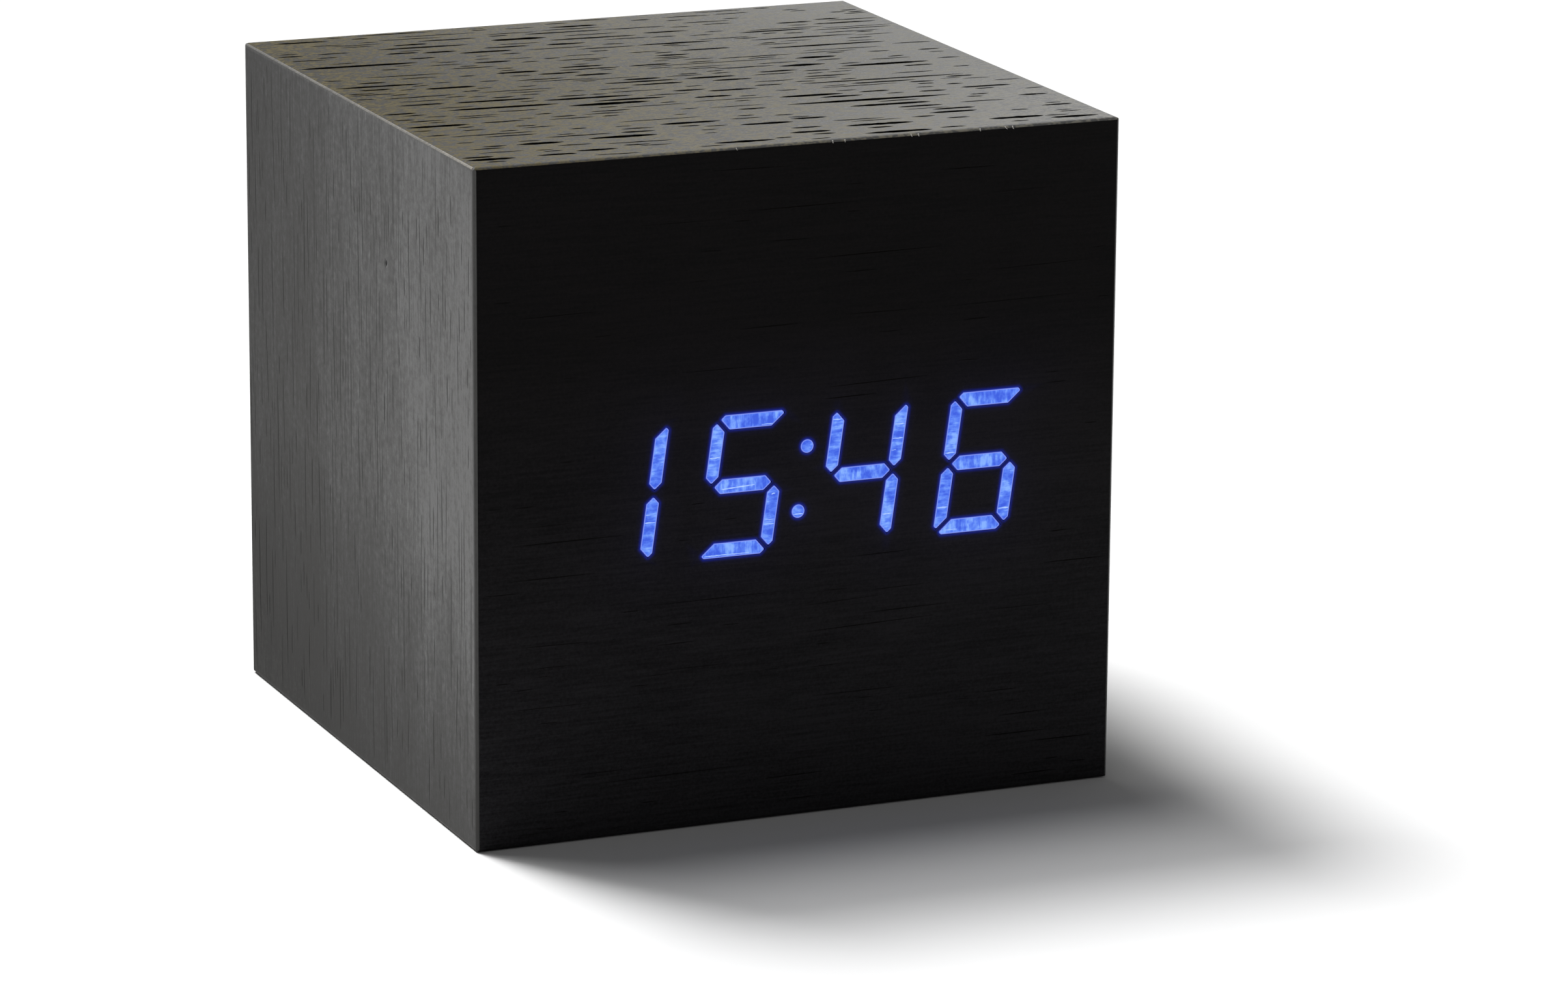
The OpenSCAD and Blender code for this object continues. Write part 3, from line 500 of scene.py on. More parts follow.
def loop_area(points):
    return 0.5 * sum(a[0] * b[1] - b[0] * a[1] for a, b in zip(points, points[1:] + points[:1]))


def worn_highlit_edges(bm, across, slot):
    """Gives another paint, partly wear and partly a painted highlight, to the narrow middle of the rounded
    edges that turn towards an axis.
    """
    least = 0.55
    most = 0.88
    for f in bm.faces:
        f.normal_update()
        if least < abs(f.normal[across]) < most:
            f.material_index = slot


class Face:
    """The outer flat face of a solid, opened so that a finer one can take its place."""

    def __init__(self, node, axis, sign, along, across):
        self.axis = axis
        self.sign = sign
        self.along = along
        self.across = across
        self.bm = bmesh.new()
        self.bm.from_mesh(NODES[node].data)
        bmesh.ops.remove_doubles(self.bm, verts=self.bm.verts, dist=SAME_PLACE)
        self.plane = sign * max(sign * v.co[axis] for v in self.bm.verts)
        for face in self.bm.faces:
            face.smooth = True
        flat = [f for f in self.bm.faces if self.on_plane(f)]
        bmesh.ops.delete(self.bm, geom=flat, context="FACES")
        rim = [e for e in self.bm.edges if len(e.link_faces) == 1 and self.on_plane(e)]
        loops = [loop if loop_area(self.outline(loop)) > 0 else loop[::-1] for loop in chain(rim)]
        self.loops = sorted(loops, key=lambda loop: -loop_area(self.outline(loop)))

    def on_plane(self, part):
        """Tells whether all corners of an edge or face lie on the outer plane."""
        return all(abs(v.co[self.axis] - self.plane) < SAME_PLACE for v in part.verts)

    def outline(self, loop):
        return [(v.co[self.along] / MM, v.co[self.across] / MM) for v in loop]

    def point(self, u, v, sink):
        place = [0, 0, 0]
        place[self.along] = u * MM
        place[self.across] = v * MM
        place[self.axis] = self.plane - self.sign * sink * MM
        return Vector(place)

    def regrow(self, rings, spots=(), dark_mouths=False):
        """Fills the face again, with sunk rings and extra points in it. The pores' mouths may be dark too."""
        sunk = max if dark_mouths else min
        points, owners, sinks, edges, faces = [], [], [], [], []
        for loop in self.loops:
            start = len(points)
            points += [Vector(p) for p in self.outline(loop)]
            owners += loop
            sinks += [0.0] * len(loop)
            faces.append(list(range(start, len(points))))
        for ring, sink in rings:
            start = len(points)
            points += [Vector(p) for p in ring]
            owners += [None] * len(ring)
            sinks += [sink] * len(ring)
            edges += [(start + i, start + (i + 1) % len(ring)) for i in range(len(ring))]
        points += [Vector(p) for p in spots]
        owners += [None] * len(spots)
        sinks += [0.0] * len(spots)
        inside_only = 1
        merge_mm = 1e-5
        made = delaunay_2d_cdt(points, edges, faces, inside_only, merge_mm, True)
        corners, _, triangles, sources, _, parents = made
        verts, depths = [], []
        for place, source in zip(corners, sources):
            first = source[0] if source else None
            sink = sinks[first] if source else 0.0
            depths.append(sink)
            if source and owners[first] is not None:
                verts.append(owners[first])
            else:
                verts.append(self.bm.verts.new(self.point(*place, sink)))
        axes = [Vector((1, 0, 0)), Vector((0, 1, 0)), Vector((0, 0, 1))]
        outward = axes[self.along].cross(axes[self.across])[self.axis] * self.sign > 0
        for triangle, parent in zip(triangles, parents):
            if parent and min(parent) == 0 and max(parent) == 0:
                order = triangle if outward else triangle[::-1]
                made_face = self.bm.faces.new([verts[i] for i in order])
                made_face.material_index = 1 if sunk(depths[i] for i in order) > 0 else 0

    def mesh(self, name):
        made = bpy.data.meshes.new(name)
        smooth = [f.smooth for f in self.bm.faces]
        self.bm.to_mesh(made)
        self.bm.free()
        if "custom_normal" in made.attributes:
            made.attributes.remove(made.attributes["custom_normal"])
        made.set_sharp_from_angle(angle=math.radians(30))
        made.polygons.foreach_set("use_smooth", smooth)
        return made


def add_piece(name, mesh, paints, body, slot, *stands_for):
    piece = bpy.data.objects.new(name, mesh)
    SCENE.collection.objects.link(piece)
    for paint in paints:
        mesh.materials.append(paint.material)
    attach(piece, body)
    if stands_for:
        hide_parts(*stands_for)
    return piece


def make_top(paint, pore, edge_paint, end_paint):
    """Top with the long pores in their places, each as wide as it fits, and smaller ones between them."""
    widths = (1.4, 1.1, 0.85)
    widest_for_length = 0.22
    depth_for_width = 0.4
    steep = 0.3
    face = Face("top_panel", Z, 1, X, Y)
    for f in face.bm.faces:
        f.normal_update()
        if f.normal.z < steep:
            f.material_index = 3
    worn_highlit_edges(face.bm, X, 2)
    pores = Pores(11, (-PORE_EDGE, PORE_FRONT), (PORE_EDGE, PORE_EDGE), (), TOP_PORE_RINGS, blunt=0.33)
    for left, right, forward, width in TOP_PORES:
        for share in widths:
            across = min(share * width, widest_for_length * (right - left)) / TWENTIETHS
            start = max(left / TWENTIETHS - HALF, 0.05 - PORE_EDGE)
            length = right / TWENTIETHS - HALF - start
            back = HALF - forward / TWENTIETHS + GRAIN_SLOPE * length / 2
            if pores.add(start, back, length, across, depth_for_width * across, GRAIN_SLOPE):
                break
    pores.scatter(230, (1.8, 9), (0.34, 0.52), (0.14, 0.2), (GRAIN_SLOPE, 0.012))
    face.regrow(pores.rings, dark_mouths=True)
    paints = (paint, pore, edge_paint, end_paint)
    add_piece("top_wood", face.mesh("top_wood"), paints, "case", "black_wood", "top_panel")


def make_side(node, name, sign, seed, paint, edge_paint):
    face = Face(node, X, sign, Z, Y)
    worn_highlit_edges(face.bm, Z, 2)
    pores = Pores(seed, (EDGE_GAP, PORE_FRONT), (CASE_TOP - EDGE_GAP, PORE_EDGE))
    if sign < 0:
        # The small pit that shows on the left side
        pores.add(53.3, -9.2, 0.6, 0.5, 0.3, 0)
    pores.scatter(300, (2, 15), (0.12, 0.3), (0.02, 0.05), (0.0, 0.02))
    face.regrow(pores.rings)
    add_piece(name, face.mesh(name), (paint, paint, edge_paint), "case", "black_wood", node)


def make_bottom(paint, pore):
    face = Face("bottom_panel", Z, -1, X, Y)
    pores = Pores(41, (-PORE_EDGE, PORE_FRONT), (PORE_EDGE, PORE_EDGE))
    pores.scatter(160, (0.8, 9), (0.2, 0.4), (0.05, 0.12), (0.0, 0.015))
    face.regrow(pores.rings)
    paints = (paint, pore)
    add_piece("bottom_wood", face.mesh("bottom_wood"), paints, "case", "black_wood", "bottom_panel")


# Front with its lit digits

def walk(outline, step):
    """Points along a closed outline, about step apart, each with the direction out of the outline."""
    turn = 1 if loop_area(outline) > 0 else -1
    for a, b in zip(outline, outline[1:] + outline[:1]):
        run = Vector(b) - Vector(a)
        if run.length < 1e-6:
            continue
        out = Vector((run.y, -run.x)).normalized() * turn
        count = max(1, round(run.length / step))
        for i in range(count):
            yield Vector(a) + run * ((i + 0.5) / count), out


def shrunk(outline, by):
    """A convex outline with each of its sides moved inwards."""
    turn = 1 if loop_area(outline) > 0 else -1
    sides = []
    for a, b in zip(outline, outline[1:] + outline[:1]):
        run = (Vector(b) - Vector(a)).normalized()
        sides.append((Vector(a) + Vector((-run.y, run.x)) * turn * by, run))
    moved = []
    for (a, along), (b, onward) in zip(sides[-1:] + sides[:-1], sides):
        share = (b - a).cross(onward) / along.cross(onward)
        moved.append(a + along * share)
    return moved


def rounded(outline, radius):
    """A convex outline with round corners. One with many corners, such as a circle, stays as it is."""
    steps = 4
    most_corners = 8
    corners = [Vector(p) for p in outline]
    if len(corners) > most_corners:
        return corners
    points = []
    for i, corner in enumerate(corners):
        back = corners[i - 1] - corner
        onward = corners[(i + 1) % len(corners)] - corner
        reach = min(radius / math.tan(back.angle(onward) / 2), 0.45 * back.length, 0.45 * onward.length)
        start = corner + back.normalized() * reach
        end = corner + onward.normalized() * reach
        for k in range(steps + 1):
            t = k / steps
            points.append(start * (1 - t) ** 2 + corner * 2 * t * (1 - t) + end * t * t)
    return points


def span(outline, height):
    """Where a level line enters and leaves a convex outline."""
    cuts = []
    for a, b in zip(outline, outline[1:] + outline[:1]):
        if (a[1] > height) != (b[1] > height):
            cuts.append(a[0] + (b[0] - a[0]) * (height - a[1]) / (b[1] - a[1]))
    return (min(cuts), max(cuts)) if cuts else (0, 0)


def distance(point, outlines):
    """Distance from a point to the nearest of some closed outlines."""
    best = 1e9
    for outline in outlines:
        for a, b in zip(outline, outline[1:] + outline[:1]):
            start = Vector(a)
            run = Vector(b) - start
            t = max(0.0, min(1.0, (point - start).dot(run) / max(run.length_squared, 1e-12)))
            best = min(best, (point - start - run * t).length)
    return best


def box_of(outline, margin):
    us = [p[0] for p in outline]
    vs = [p[1] for p in outline]
    return (min(us) - margin, min(vs) - margin, max(us) + margin, max(vs) + margin)


def within(point, box):
    return box[0] < point[0] < box[2] and box[1] < point[1] < box[3]


def ring_spots(outlines, reach, step, margin, keep_clear):
    """Points at one distance around the outlines, apart from those too near another outline or in a box."""
    areas = [(box_of(outline, margin), outline) for outline in outlines]
    for outline in outlines:
        for at, out in walk(outline, step):
            spot = at + out * reach
            near = [other for box, other in areas if within(spot, box)]
            if distance(spot, near) > 0.9 * reach and not any(within(spot, box) for box in keep_clear):
                yield tuple(spot)


def make_front(paint, pore, side_paint, top_paint):
    """Front veneer with openings for the light. Its corners carry how strongly the painted glow of the light
    shows on the wood.
    """
    sideways = 0.4
    upwards = 0.5
    haze_mm = 3.2
    fringe_mm = 0.14
    face = Face("front_veneer", Y, -1, X, Z)
    for f in face.bm.faces:
        f.normal_update()
        if abs(f.normal.x) > sideways:
            f.material_index = 2
        elif f.normal.z > upwards:
            f.material_index = 3
    holes = [face.outline(loop) for loop in face.loops[1:]]
    patches = [rounded(hole, CORNER_R) for hole in holes]
    side = HALF - FRONT_GAP
    keep_clear = [box_of(hole, 0.45) for hole in holes]
    pores = Pores(23, (-side, FRONT_GAP), (side, CASE_TOP - FRONT_GAP), keep_clear)
    # The small pit near the left edge
    pores.add(-33.0, 16.0, 0.8, 0.5, 0.25, 0.2)
    pores.scatter(90, (1.5, 15), (0.06, 0.12), (0.008, 0.02), (-0.005, 0.012))
    pore_boxes = pores.boxes[len(holes):]
    # Rings of points around the light: outlines, distance from them, step along them
    rings = ((patches, 0.07, 0.3), (patches, 0.16, 0.3), (patches, 0.32, 0.4), (holes, 0.8, 0.6),
             (holes, 1.6, 0.9), (holes, 3.0, 1.4), (holes, 5.0, 2.0))
    spots = []
    for outlines, reach, step in rings:
        spots += ring_spots(outlines, reach, step, margin=6, keep_clear=pore_boxes)
    face.regrow(pores.rings, spots)
    mesh = face.mesh("front_wood")
    # How strongly the painted glow of the light shows at each corner: a fringe next to the lit patches and a
    # haze further out
    glow_fringe = mesh.attributes.new("glow_fringe", "FLOAT", "POINT")
    glow_haze = mesh.attributes.new("glow_haze", "FLOAT", "POINT")
    areas = [(box_of(patch, 0.8), patch) for patch in patches]
    for vertex in mesh.vertices:
        at = Vector((vertex.co.x / MM, vertex.co.z / MM))
        glow_haze.data[vertex.index].value = math.exp(-distance(at, holes) / haze_mm)
        near = [patch for box, patch in areas if within(at, box)]
        if near:
            glow_fringe.data[vertex.index].value = math.exp(-(distance(at, near) / fringe_mm) ** 1.5)
    paints = (paint, pore, side_paint, top_paint)
    add_piece("front_wood", mesh, paints, "case", "front_veneer", "front_veneer")


def front_paint():
    """Black veneer with a painted blue glow of the light around the lit patches."""
    # Shades at the bottom and 50 mm up: darker than the sides' wood as painted shade of the front, and paler
    # towards the bottom as a painted reflection
    low = ((0.005, 0.0048, 0.0054), (0.021, 0.0203, 0.0224))
    high = ((0.0003, 0.0003, 0.0003), (0.0046, 0.0040, 0.0041))
    paint = wood("front_wood", X, 0.05, low, high, (Z, 0, 50), (0.6, 0.8, 0.0), contrast=0.09)
    # Painted glow of the light on the veneer: a blue fringe and a faint haze
    glow_fringe = paint.mix("MULTIPLY", 1.0, (0.003, 0.010, 0.20), paint.attribute("glow_fringe"))
    glow_haze = paint.mix("MULTIPLY", 1.0, (0.0020, 0.0017, 0.0042), paint.attribute("glow_haze"))
    paint.glow(paint.mix("ADD", 1.0, glow_fringe, glow_haze))
    return paint


def light_paint():
    """Blue light in the veneer: a dark rim, a pale line inside it, and a mottled middle."""
    paint = Paint("blue_light")
    paint.set(Roughness=0.6)
    paint.specular(0.05)
    upright = paint.noise(2.6, (1, 1, 0.2), detail=5, rough=0.7)
    level = paint.noise(2.6, (0.2, 1, 1), detail=5, rough=0.7)
    cloud = paint.noise(0.7, detail=3)
    bar = paint.attribute("bar")
    post = paint.math("SUBTRACT", 1.0, bar)
    streaks = paint.math("ADD", paint.math("MULTIPLY", upright, bar), paint.math("MULTIPLY", level, post))
    both = paint.total((streaks, 0.5), (cloud, 0.5))
    core_shades = [(0.41, (0.048, 0.116, 0.76)), (0.50, (0.106, 0.230, 0.92)), (0.59, (0.24, 0.44, 1.0))]
    rim_shades = [(0.0, (0.012, 0.030, 0.33)), (0.45, (0.28, 0.36, 1.0)), (0.9, (0.112, 0.240, 0.92))]
    depth = paint.attribute("depth")
    core = paint.ramp(core_shades, both)
    rim = paint.ramp(rim_shades, depth)
    inner = paint.ramp([(0.5, (0, 0, 0)), (0.95, (1, 1, 1))], depth)
    paint.colour([(0.4, (0.008, 0.010, 0.02)), (0.6, (0.012, 0.014, 0.03))], cloud)
    paint.glow(paint.mix("MIX", inner, rim, core))
    return paint


def make_light(node, name, paint):
    """Lit patches as closed slabs. Rings on their front carry the shades of the light."""
    sunk = 0.015
    # Distance of a ring from the outline, and its place in the light from the rim to the middle
    shades = ((0.0, 0.0), (0.08, 0.45), (0.16, 1.0))
    wide = 1.5
    face = Face(node, Y, -1, X, Z)
    outlines = [face.outline(loop) for loop in face.loops]
    face.bm.free()
    back_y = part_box(node)[1][1]
    bm = bmesh.new()
    depth = bm.verts.layers.float.new("depth")
    bar = bm.verts.layers.float.new("bar")
    for outline in outlines:
        left, low, right, high = box_of(outline, 0)
        lies_level = 1.0 if right - left > wide * (high - low) else 0.0
        rings = []
        for inset, value in shades:
            ring = []
            for u, v in rounded(shrunk(outline, inset), CORNER_R - inset):
                vertex = bm.verts.new(Vector((u, FRONT_Y + sunk, v)) * MM)
                vertex[depth] = value
                vertex[bar] = lies_level
                ring.append(vertex)
            rings.append(ring)
        rear = [bm.verts.new((v.co.x, back_y, v.co.z)) for v in rings[0]]
        for outer, inner in zip([rear] + rings, rings):
            for i in range(len(outer)):
                k = (i + 1) % len(outer)
                bm.faces.new((outer[i], outer[k], inner[k], inner[i]))
        bm.faces.new(rings[-1])
        bm.faces.new(rear)
    bmesh.ops.triangulate(bm, faces=[f for f in bm.faces if len(f.verts) > 4])
    bmesh.ops.recalc_face_normals(bm, faces=bm.faces)
    mesh = bpy.data.meshes.new(name)
    bm.to_mesh(mesh)
    bm.free()
    add_piece(name, mesh, (paint,), "case", "blue_light", node)
    return [rounded(outline, CORNER_R) for outline in outlines]


# Bright fibres of the veneer across the light: left end, right end, height, rise to the right, thickness
LIT_FIBRES = [
    (-17.0, -14.5, 31.49, 0.0, 0.13), (-16.5, -15.9, 32.30, 0.0, 0.09), (-10.2, -8.2, 37.35, 0.0, 0.16),
    (-4.5, -2.2, 30.60, 0.0, 0.07), (-4.5, -2.2, 30.42, 0.0, 0.05), (-4.5, -2.2, 30.18, 0.0, 0.11),
    (3.0, 5.0, 40.05, 0.0, 0.13), (9.6, 11.5, 38.99, 0.0, 0.12), (9.4, 11.3, 37.55, 0.0, 0.13),
    (9.5, 10.2, 36.4, 0.0, 0.06), (8.4, 10.4, 29.97, 0.0, 0.15), (15.2, 17.0, 35.53, 0.0, 0.14),
    (14.4, 16.2, 30.02, 0.0, 0.14), (21.2, 22.8, 29.35, 0.0, 0.17), (-1.1, 0.6, 30.86, 0.0, 0.12),
    (-8.4, -4.9, 34.20, 0.18, 0.14), (-10.2, -5.4, 27.50, 0.0, 0.10), (15.6, 16.9, 27.66, 0.0, 0.11),
    (-4.2, -2.9, 40.28, 0.0, 0.09), (-3.1, -2.7, 33.20, 0.1, 0.12),
]


def make_fibre_lines(paint, outlines):
    """Thin bright strips that lie on the light, inside its outlines."""
    margin = 0.13
    sunk = 0.008
    step = 0.25
    pick = random.Random(5)
    bm = bmesh.new()
    for left, right, height, rise, thick in LIT_FIBRES:
        spans = [span(outline, height) for outline in outlines]
        middle = (left + right) / 2
        start, end = [s for s in spans if s[0] < middle < s[1]][0]
        left = max(left, start + margin)
        right = min(right, end - margin)
        count = max(5, int((right - left) / step))
        tops, feet = [], []
        for i in range(count):
            t = i / (count - 1)
            tall = thick * pick.uniform(0.6, 1.1) * (0.4 if i in (0, count - 1) else 1)
            low = height + rise * (t - 0.5) + pick.uniform(-0.02, 0.02) - tall / 2
            x = left + (right - left) * t
            feet.append(bm.verts.new(Vector((x, FRONT_Y + sunk, low)) * MM))
            tops.append(bm.verts.new(Vector((x, FRONT_Y + sunk, low + tall)) * MM))
        for i in range(count - 1):
            bm.faces.new((feet[i], feet[i + 1], tops[i + 1], tops[i]))
    mesh = bpy.data.meshes.new("lit_fibres")
    bm.to_mesh(mesh)
    bm.free()
    add_piece("lit_fibres", mesh, (paint,), "case", "blue_light")


def fibre_line_paint():
    """Pale blue light of the bright fibres."""
    paint = Paint("lit_fibres")
    paint.set(Roughness=0.6)
    cloud = paint.noise(2.5, detail=3)
    paint.colour([(0.4, (0.03, 0.04, 0.1)), (0.6, (0.05, 0.06, 0.14))], cloud)
    paint.glow(paint.ramp([(0.35, (0.26, 0.44, 1.0)), (0.65, (0.44, 0.62, 1.0))], cloud))
    return paint


# Torn pale fibres on the front's top edge: place along the edge, lean, reach down, thickness
FRAYS = [
    (-7.0, 0.4, 0.45, 0.045), (3.1, 0.6, 1.0, 0.055), (4.4, 0.15, 0.7, 0.055), (11.4, 0.7, 0.6, 0.055),
    (12.2, 0.3, 0.75, 0.06), (18.8, 0.15, 0.5, 0.055), (21.5, 0.9, 0.5, 0.055), (22.3, 0.5, 0.65, 0.06),
]


def make_frays():
    sides = 5
    steps = 7
    angles = [2 * math.pi * k / sides for k in range(sides)]
    paint = Paint("torn_fibre")
    paint.set(Roughness=0.7, IOR=1.5)
    paint.colour([(0.3, (0.42, 0.40, 0.37)), (0.7, (0.7, 0.68, 0.64))], paint.noise(3))
    bm = bmesh.new()
    for at, lean, reach, thick in FRAYS:
        rings = []
        for i in range(steps):
            t = i / (steps - 1)
            radius = thick * (1 - 0.75 * t)
            middle = Vector((at + lean * t * t, FRONT_Y + 0.07 - 0.02 * t, CASE_TOP - 0.06 - reach * t))
            around = [middle + Vector((radius * math.cos(a), radius * math.sin(a), 0)) for a in angles]
            rings.append([bm.verts.new(place * MM) for place in around])
        for lower, upper in zip(rings, rings[1:]):
            for k in range(sides):
                onward = (k + 1) % sides
                side = bm.faces.new((lower[k], lower[onward], upper[onward], upper[k]))
                side.smooth = True
        bm.faces.new(rings[0][::-1])
        bm.faces.new(rings[-1])
    bmesh.ops.recalc_face_normals(bm, faces=bm.faces)
    mesh = bpy.data.meshes.new("torn_fibres")
    bm.to_mesh(mesh)
    bm.free()
    add_piece("torn_fibres", mesh, (paint,), "case", "front_veneer")


# Foam pad on the door

def make_foam():
    """Pad with rounded edges."""
    low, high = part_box("door_foam")
    bm = bmesh.new()
    bmesh.ops.create_cube(bm, size=1)
    for vertex in bm.verts:
        vertex.co = [low[i] + (vertex.co[i] + 0.5) * (high[i] - low[i]) for i in range(3)]
    bmesh.ops.bevel(bm, geom=bm.edges[:], offset=0.25 * MM, segments=3, profile=0.5, affect="EDGES")
    for f in bm.faces:
        f.smooth = True
    mesh = bpy.data.meshes.new("foam_pad")
    bm.to_mesh(mesh)
    bm.free()
    paint = Paint("foam")
    cells = paint.cells(2.2)
    paint.colour([(0.15, (0.008, 0.008, 0.009)), (0.5, (0.035, 0.035, 0.037))], cells)
    paint.set(Roughness=0.95)
    paint.bump(cells, 0.12)
    foam = add_piece("foam_pad", mesh, (paint,), "battery_door", "foam", "door_foam")


# Materials of the solids that stay

def soften(node, width_mm, segments=2):
    """Small round on the edges of a solid."""
    solid = NODES[node]
    weld = solid.modifiers.new("weld", "WELD")
    weld.merge_threshold = SAME_PLACE
    bevel = solid.modifiers.new("soft_edges", "BEVEL")
    bevel.width = width_mm * MM
    bevel.segments = segments
    bevel.limit_method = "ANGLE"
    bevel.angle_limit = math.radians(40)
    bevel.use_clamp_overlap = True
    bevel.harden_normals = False


def paint_solids():
    """Gives each solid that stays its material."""
    steel = metal("steel", (0.46, 0.46, 0.47), (0.62, 0.62, 0.63), 0.3)
    screw = metal("screw_steel", (0.16, 0.16, 0.165), (0.24, 0.24, 0.245), 0.34)
    board = plastic("circuit_board", (0.010, 0.075, 0.035), (0.016, 0.11, 0.05), 0.38, 0.8, 0.02)
    dark = plastic("black_plastic", (0.012, 0.012, 0.0125), (0.018, 0.018, 0.0185), 0.5)
    button = plastic("button_plastic", (0.02, 0.02, 0.021), (0.028, 0.028, 0.029), 0.36, 0.15, 0.006)
    chip = plastic("chip_plastic", (0.010, 0.010, 0.011), (0.02, 0.02, 0.021), 0.55, 0.2, 0.01)
    white = plastic("white_plastic", (0.62, 0.62, 0.60), (0.72, 0.72, 0.70), 0.45)
    cream = plastic("plug_plastic", (0.6, 0.57, 0.48), (0.68, 0.65, 0.56), 0.45)
    resin = plastic("clear_resin", (0.6, 0.68, 0.78), (0.72, 0.78, 0.86), 0.25)
    led = plastic("led_chip", (0.72, 0.70, 0.45), (0.8, 0.78, 0.55), 0.3)
    socket = plastic("socket_plastic", (0.008, 0.008, 0.0085), (0.013, 0.013, 0.0135), 0.32, 0.2, 0.006)
    plunger = plastic("plunger_plastic", (0.6, 0.56, 0.48), (0.68, 0.65, 0.57), 0.4)
    brass = metal("contact_brass", (0.55, 0.50, 0.40), (0.66, 0.62, 0.52), 0.28, X)
    sleeve = plastic("capacitor_sleeve", (0.010, 0.016, 0.045), (0.016, 0.024, 0.06), 0.3)
    grey = plastic("cable_grey", (0.20, 0.205, 0.21), (0.27, 0.275, 0.28), 0.5)
    red = plastic("lead_red", (0.38, 0.012, 0.01), (0.46, 0.018, 0.014), 0.45)
    black = plastic("lead_black", (0.012, 0.012, 0.012), (0.02, 0.02, 0.02), 0.45)
    pale = ((0.30, 0.19, 0.10), (0.46, 0.31, 0.17))
    brown = ((0.06, 0.045, 0.03), (0.10, 0.075, 0.05))
    block = wood("block_wood", Y, 0.5, pale, pale, (Z, 0, CASE_TOP), (0.65, 0.4, 0.0))
    core = wood("panel_wood", X, 0.3, brown, brown, (Z, 0, CASE_TOP), (0.75, 0.3, 0.0))
    finishes = {
        core: ["front_panel"],
        block: ["corner_blocks"],
        dark: ["rear_panel", "battery_tray", "battery_door"],
        screw: ["rear_panel_screws"],
        steel: ["display_screws", "main_board_screws", "tray_screws", "crystal", "microphone", "socket_pin",
                "battery_springs"],
        board: ["display_board", "main_board"],
        button: ["set_button", "up_button", "down_button"],
        chip: ["microcontroller", "led_driver", "piezo_buzzer", "tact_switches"],
        white: ["display_housing"],
        cream: ["display_plug", "main_plug"],
        resin: ["light_guides"],
        led: ["display_leds"],
        socket: ["power_socket"],
        plunger: ["set_plunger", "up_plunger", "down_plunger"],
        brass: ["battery_contacts"],
        sleeve: ["capacitor"],
        grey: ["flat_cable"],
        red: ["red_lead"],
        black: ["black_lead"],
    }
    for name in ("upper_cell", "middle_cell", "lower_cell"):
        finishes[cell_paint(name)] = [name]
    for paint, names in finishes.items():
        for name in names:
            mesh = NODES[name].data
            mesh.materials.clear()
            mesh.materials.append(paint.material)
    for name in ("rear_panel", "battery_door"):
        soften(name, 0.15)
    for name in ("set_button", "up_button", "down_button", "power_socket"):
        soften(name, 0.2, 3)
    soften("rear_panel_screws", 0.08)
    soften("battery_tray", 0.12)


def cell_paint(name):
    """Shrink wrap of a battery cell: a copper band towards its nub, and bare steel ends."""
    near = 0.1 * MM
    points = [v.co for v in NODES[name].data.vertices]
    ends = [min(p.x for p in points), max(p.x for p in points)]
    middle = sum((Vector(b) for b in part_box(name)), Vector()) / 2
    wide = [max((p - middle).yz.length for p in points if abs(p.x - end) < near) for end in ends]
    nub, foot = ends if wide[0] < wide[1] else ends[::-1]
    paint = plastic("wrap_" + name, (0.012, 0.012, 0.013), (0.02, 0.02, 0.021), 0.26, 0.6, 0.005)
    steel = (0.52, 0.52, 0.53)
    copper = (0.42, 0.17, 0.06)
    black = (0.014, 0.014, 0.015)
    bands = paint.ramp([(0.0, steel), (0.035, copper), (0.3, black), (0.985, steel)],
                       paint.gradient(X, nub / MM, foot / MM))
    bands.node.color_ramp.interpolation = "CONSTANT"
    cloud = paint.ramp([(0.35, (0.8, 0.8, 0.8)), (0.65, (1, 1, 1))], paint.noise(0.4))
    paint.feed("Base Color", paint.mix("MULTIPLY", 1.0, bands, cloud))
    return paint


# The whole

set_camera()
set_studio()
# Dark and light shade of each wood
BLACK = ((0.010, 0.0097, 0.009), (0.036, 0.035, 0.033))
# Rounded edges: paler partly from wear and partly as a painted highlight, which is brighter at the front than
# at the back
EDGE_WEAR_HIGHLIGHT = ((0.05, 0.047, 0.042), (0.26, 0.245, 0.21))
EDGE_WEAR_HIGHLIGHT_BACK = ((0.02, 0.019, 0.017), (0.12, 0.114, 0.10))
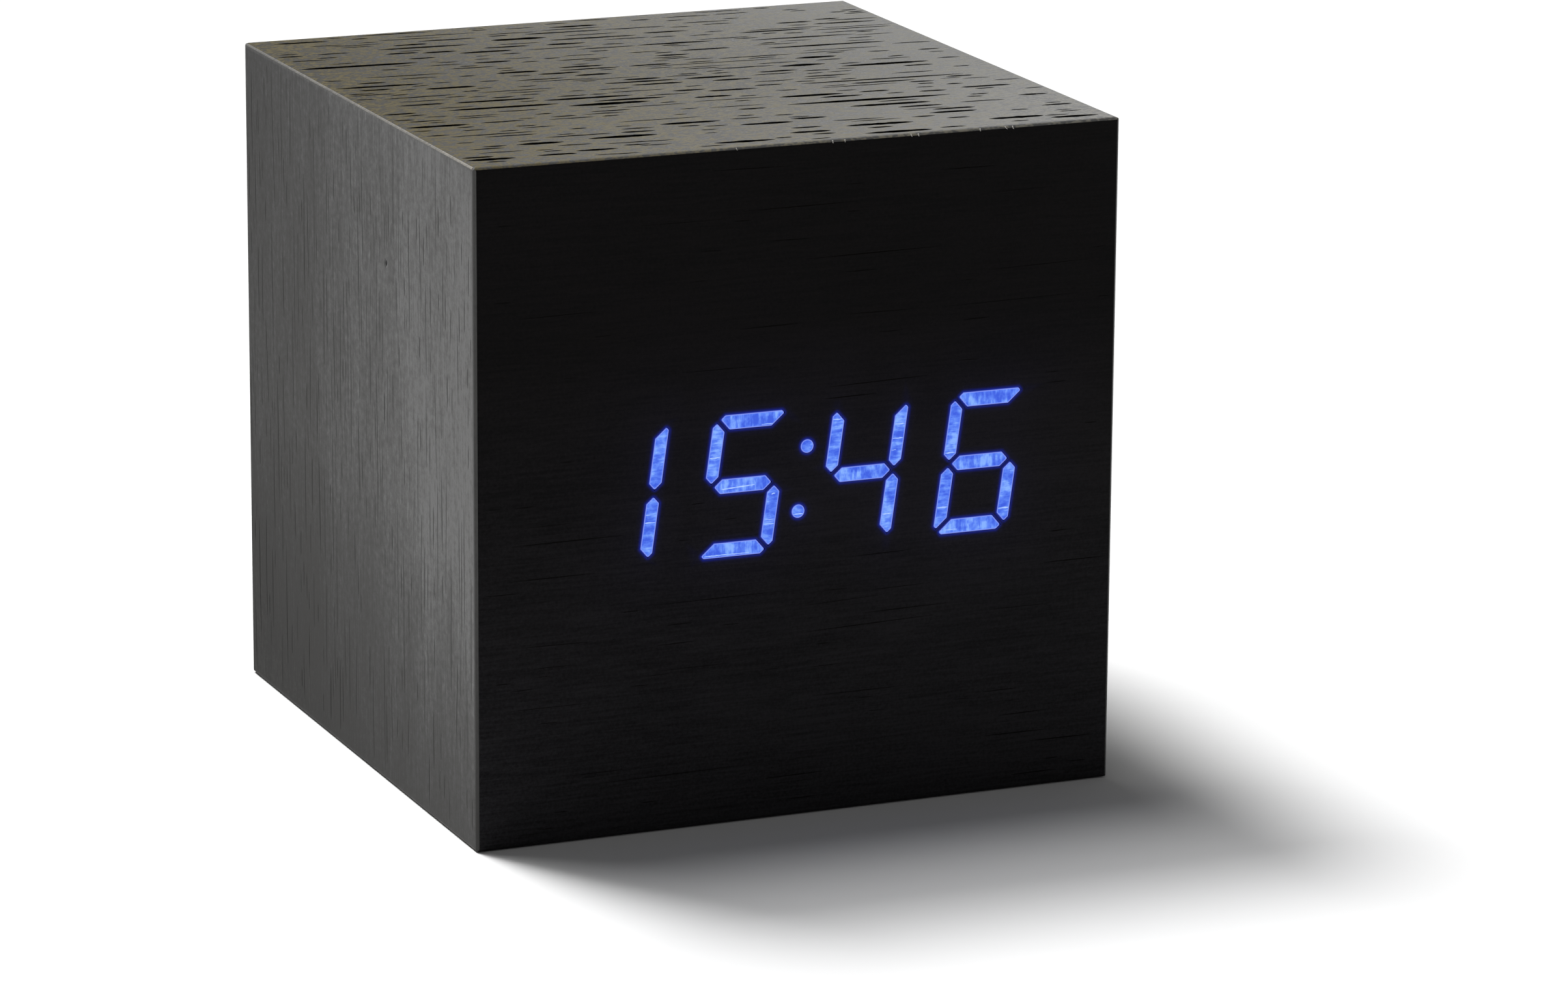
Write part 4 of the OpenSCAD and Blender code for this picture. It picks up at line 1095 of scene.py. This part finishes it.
# Shades of the top at the right and at the left. They are paler than the sides' wood, and their pale specks
# are partly grain and partly painted glints and painted light of the lit top
TOP_BLACK = ((0.003, 0.003, 0.0024), (0.090, 0.085, 0.066))
TOP_BROWN = ((0.003, 0.0025, 0.001), (0.080, 0.065, 0.028))
ALONG_X = (X, -HALF, HALF)
ALONG_Y = (Y, -HALF, HALF)
PORE = pore_paint("pore", (0.004, 0.0037, 0.0033), (0.004, 0.0037, 0.0033))
# Pores of the top: darker towards the front as painted shade
TOP_PORE = pore_paint("top_pore", (0.002, 0.0018, 0.0014), (0.010, 0.0085, 0.005))
TOP_WOOD = wood("top_wood", X, 0.5, TOP_BROWN, TOP_BLACK, ALONG_X, (0.67, 1.6, -0.66), (2.2, (0.7, 1, 1), 1),
                (Y, 0, -HALF, -0.17), bump_mm=0.07, shares=(0.3, 0.1, 0.6), contrast=0.05)
SIDE_WOOD = wood("side_wood", Z, 0.42, BLACK, BLACK, ALONG_Y, (0.56, 1.8, 0.45), (3.2, (1, 0.4, 0.4), 3),
                 (Z, 30, 0, 0.34))
EDGE_WOOD = wood("worn_highlit_edge", Z, 0.5, EDGE_WEAR_HIGHLIGHT, EDGE_WEAR_HIGHLIGHT_BACK, ALONG_Y, (0.5, 0.6, 0.0))
BOTTOM_WOOD = wood("bottom_wood", X, 0.5, BLACK, BLACK, ALONG_X, (0.5, 0.8, 0.0))
make_top(TOP_WOOD, TOP_PORE, EDGE_WOOD, BOTTOM_WOOD)
make_side("left_panel", "left_wood", -1, 17, SIDE_WOOD, EDGE_WOOD)
make_side("right_panel", "right_wood", 1, 31, SIDE_WOOD, EDGE_WOOD)
make_bottom(BOTTOM_WOOD, PORE)
make_front(front_paint(), PORE, SIDE_WOOD, TOP_WOOD)
LIGHT = light_paint()
LIT_OUTLINES = make_light("lit_segments", "lit_digits", LIGHT)
LIT_OUTLINES += make_light("colon_dots", "lit_colon", LIGHT)
make_fibre_lines(fibre_line_paint(), LIT_OUTLINES)
make_frays()
make_foam()
paint_solids()

SCENE.view_settings.view_transform = "Standard"
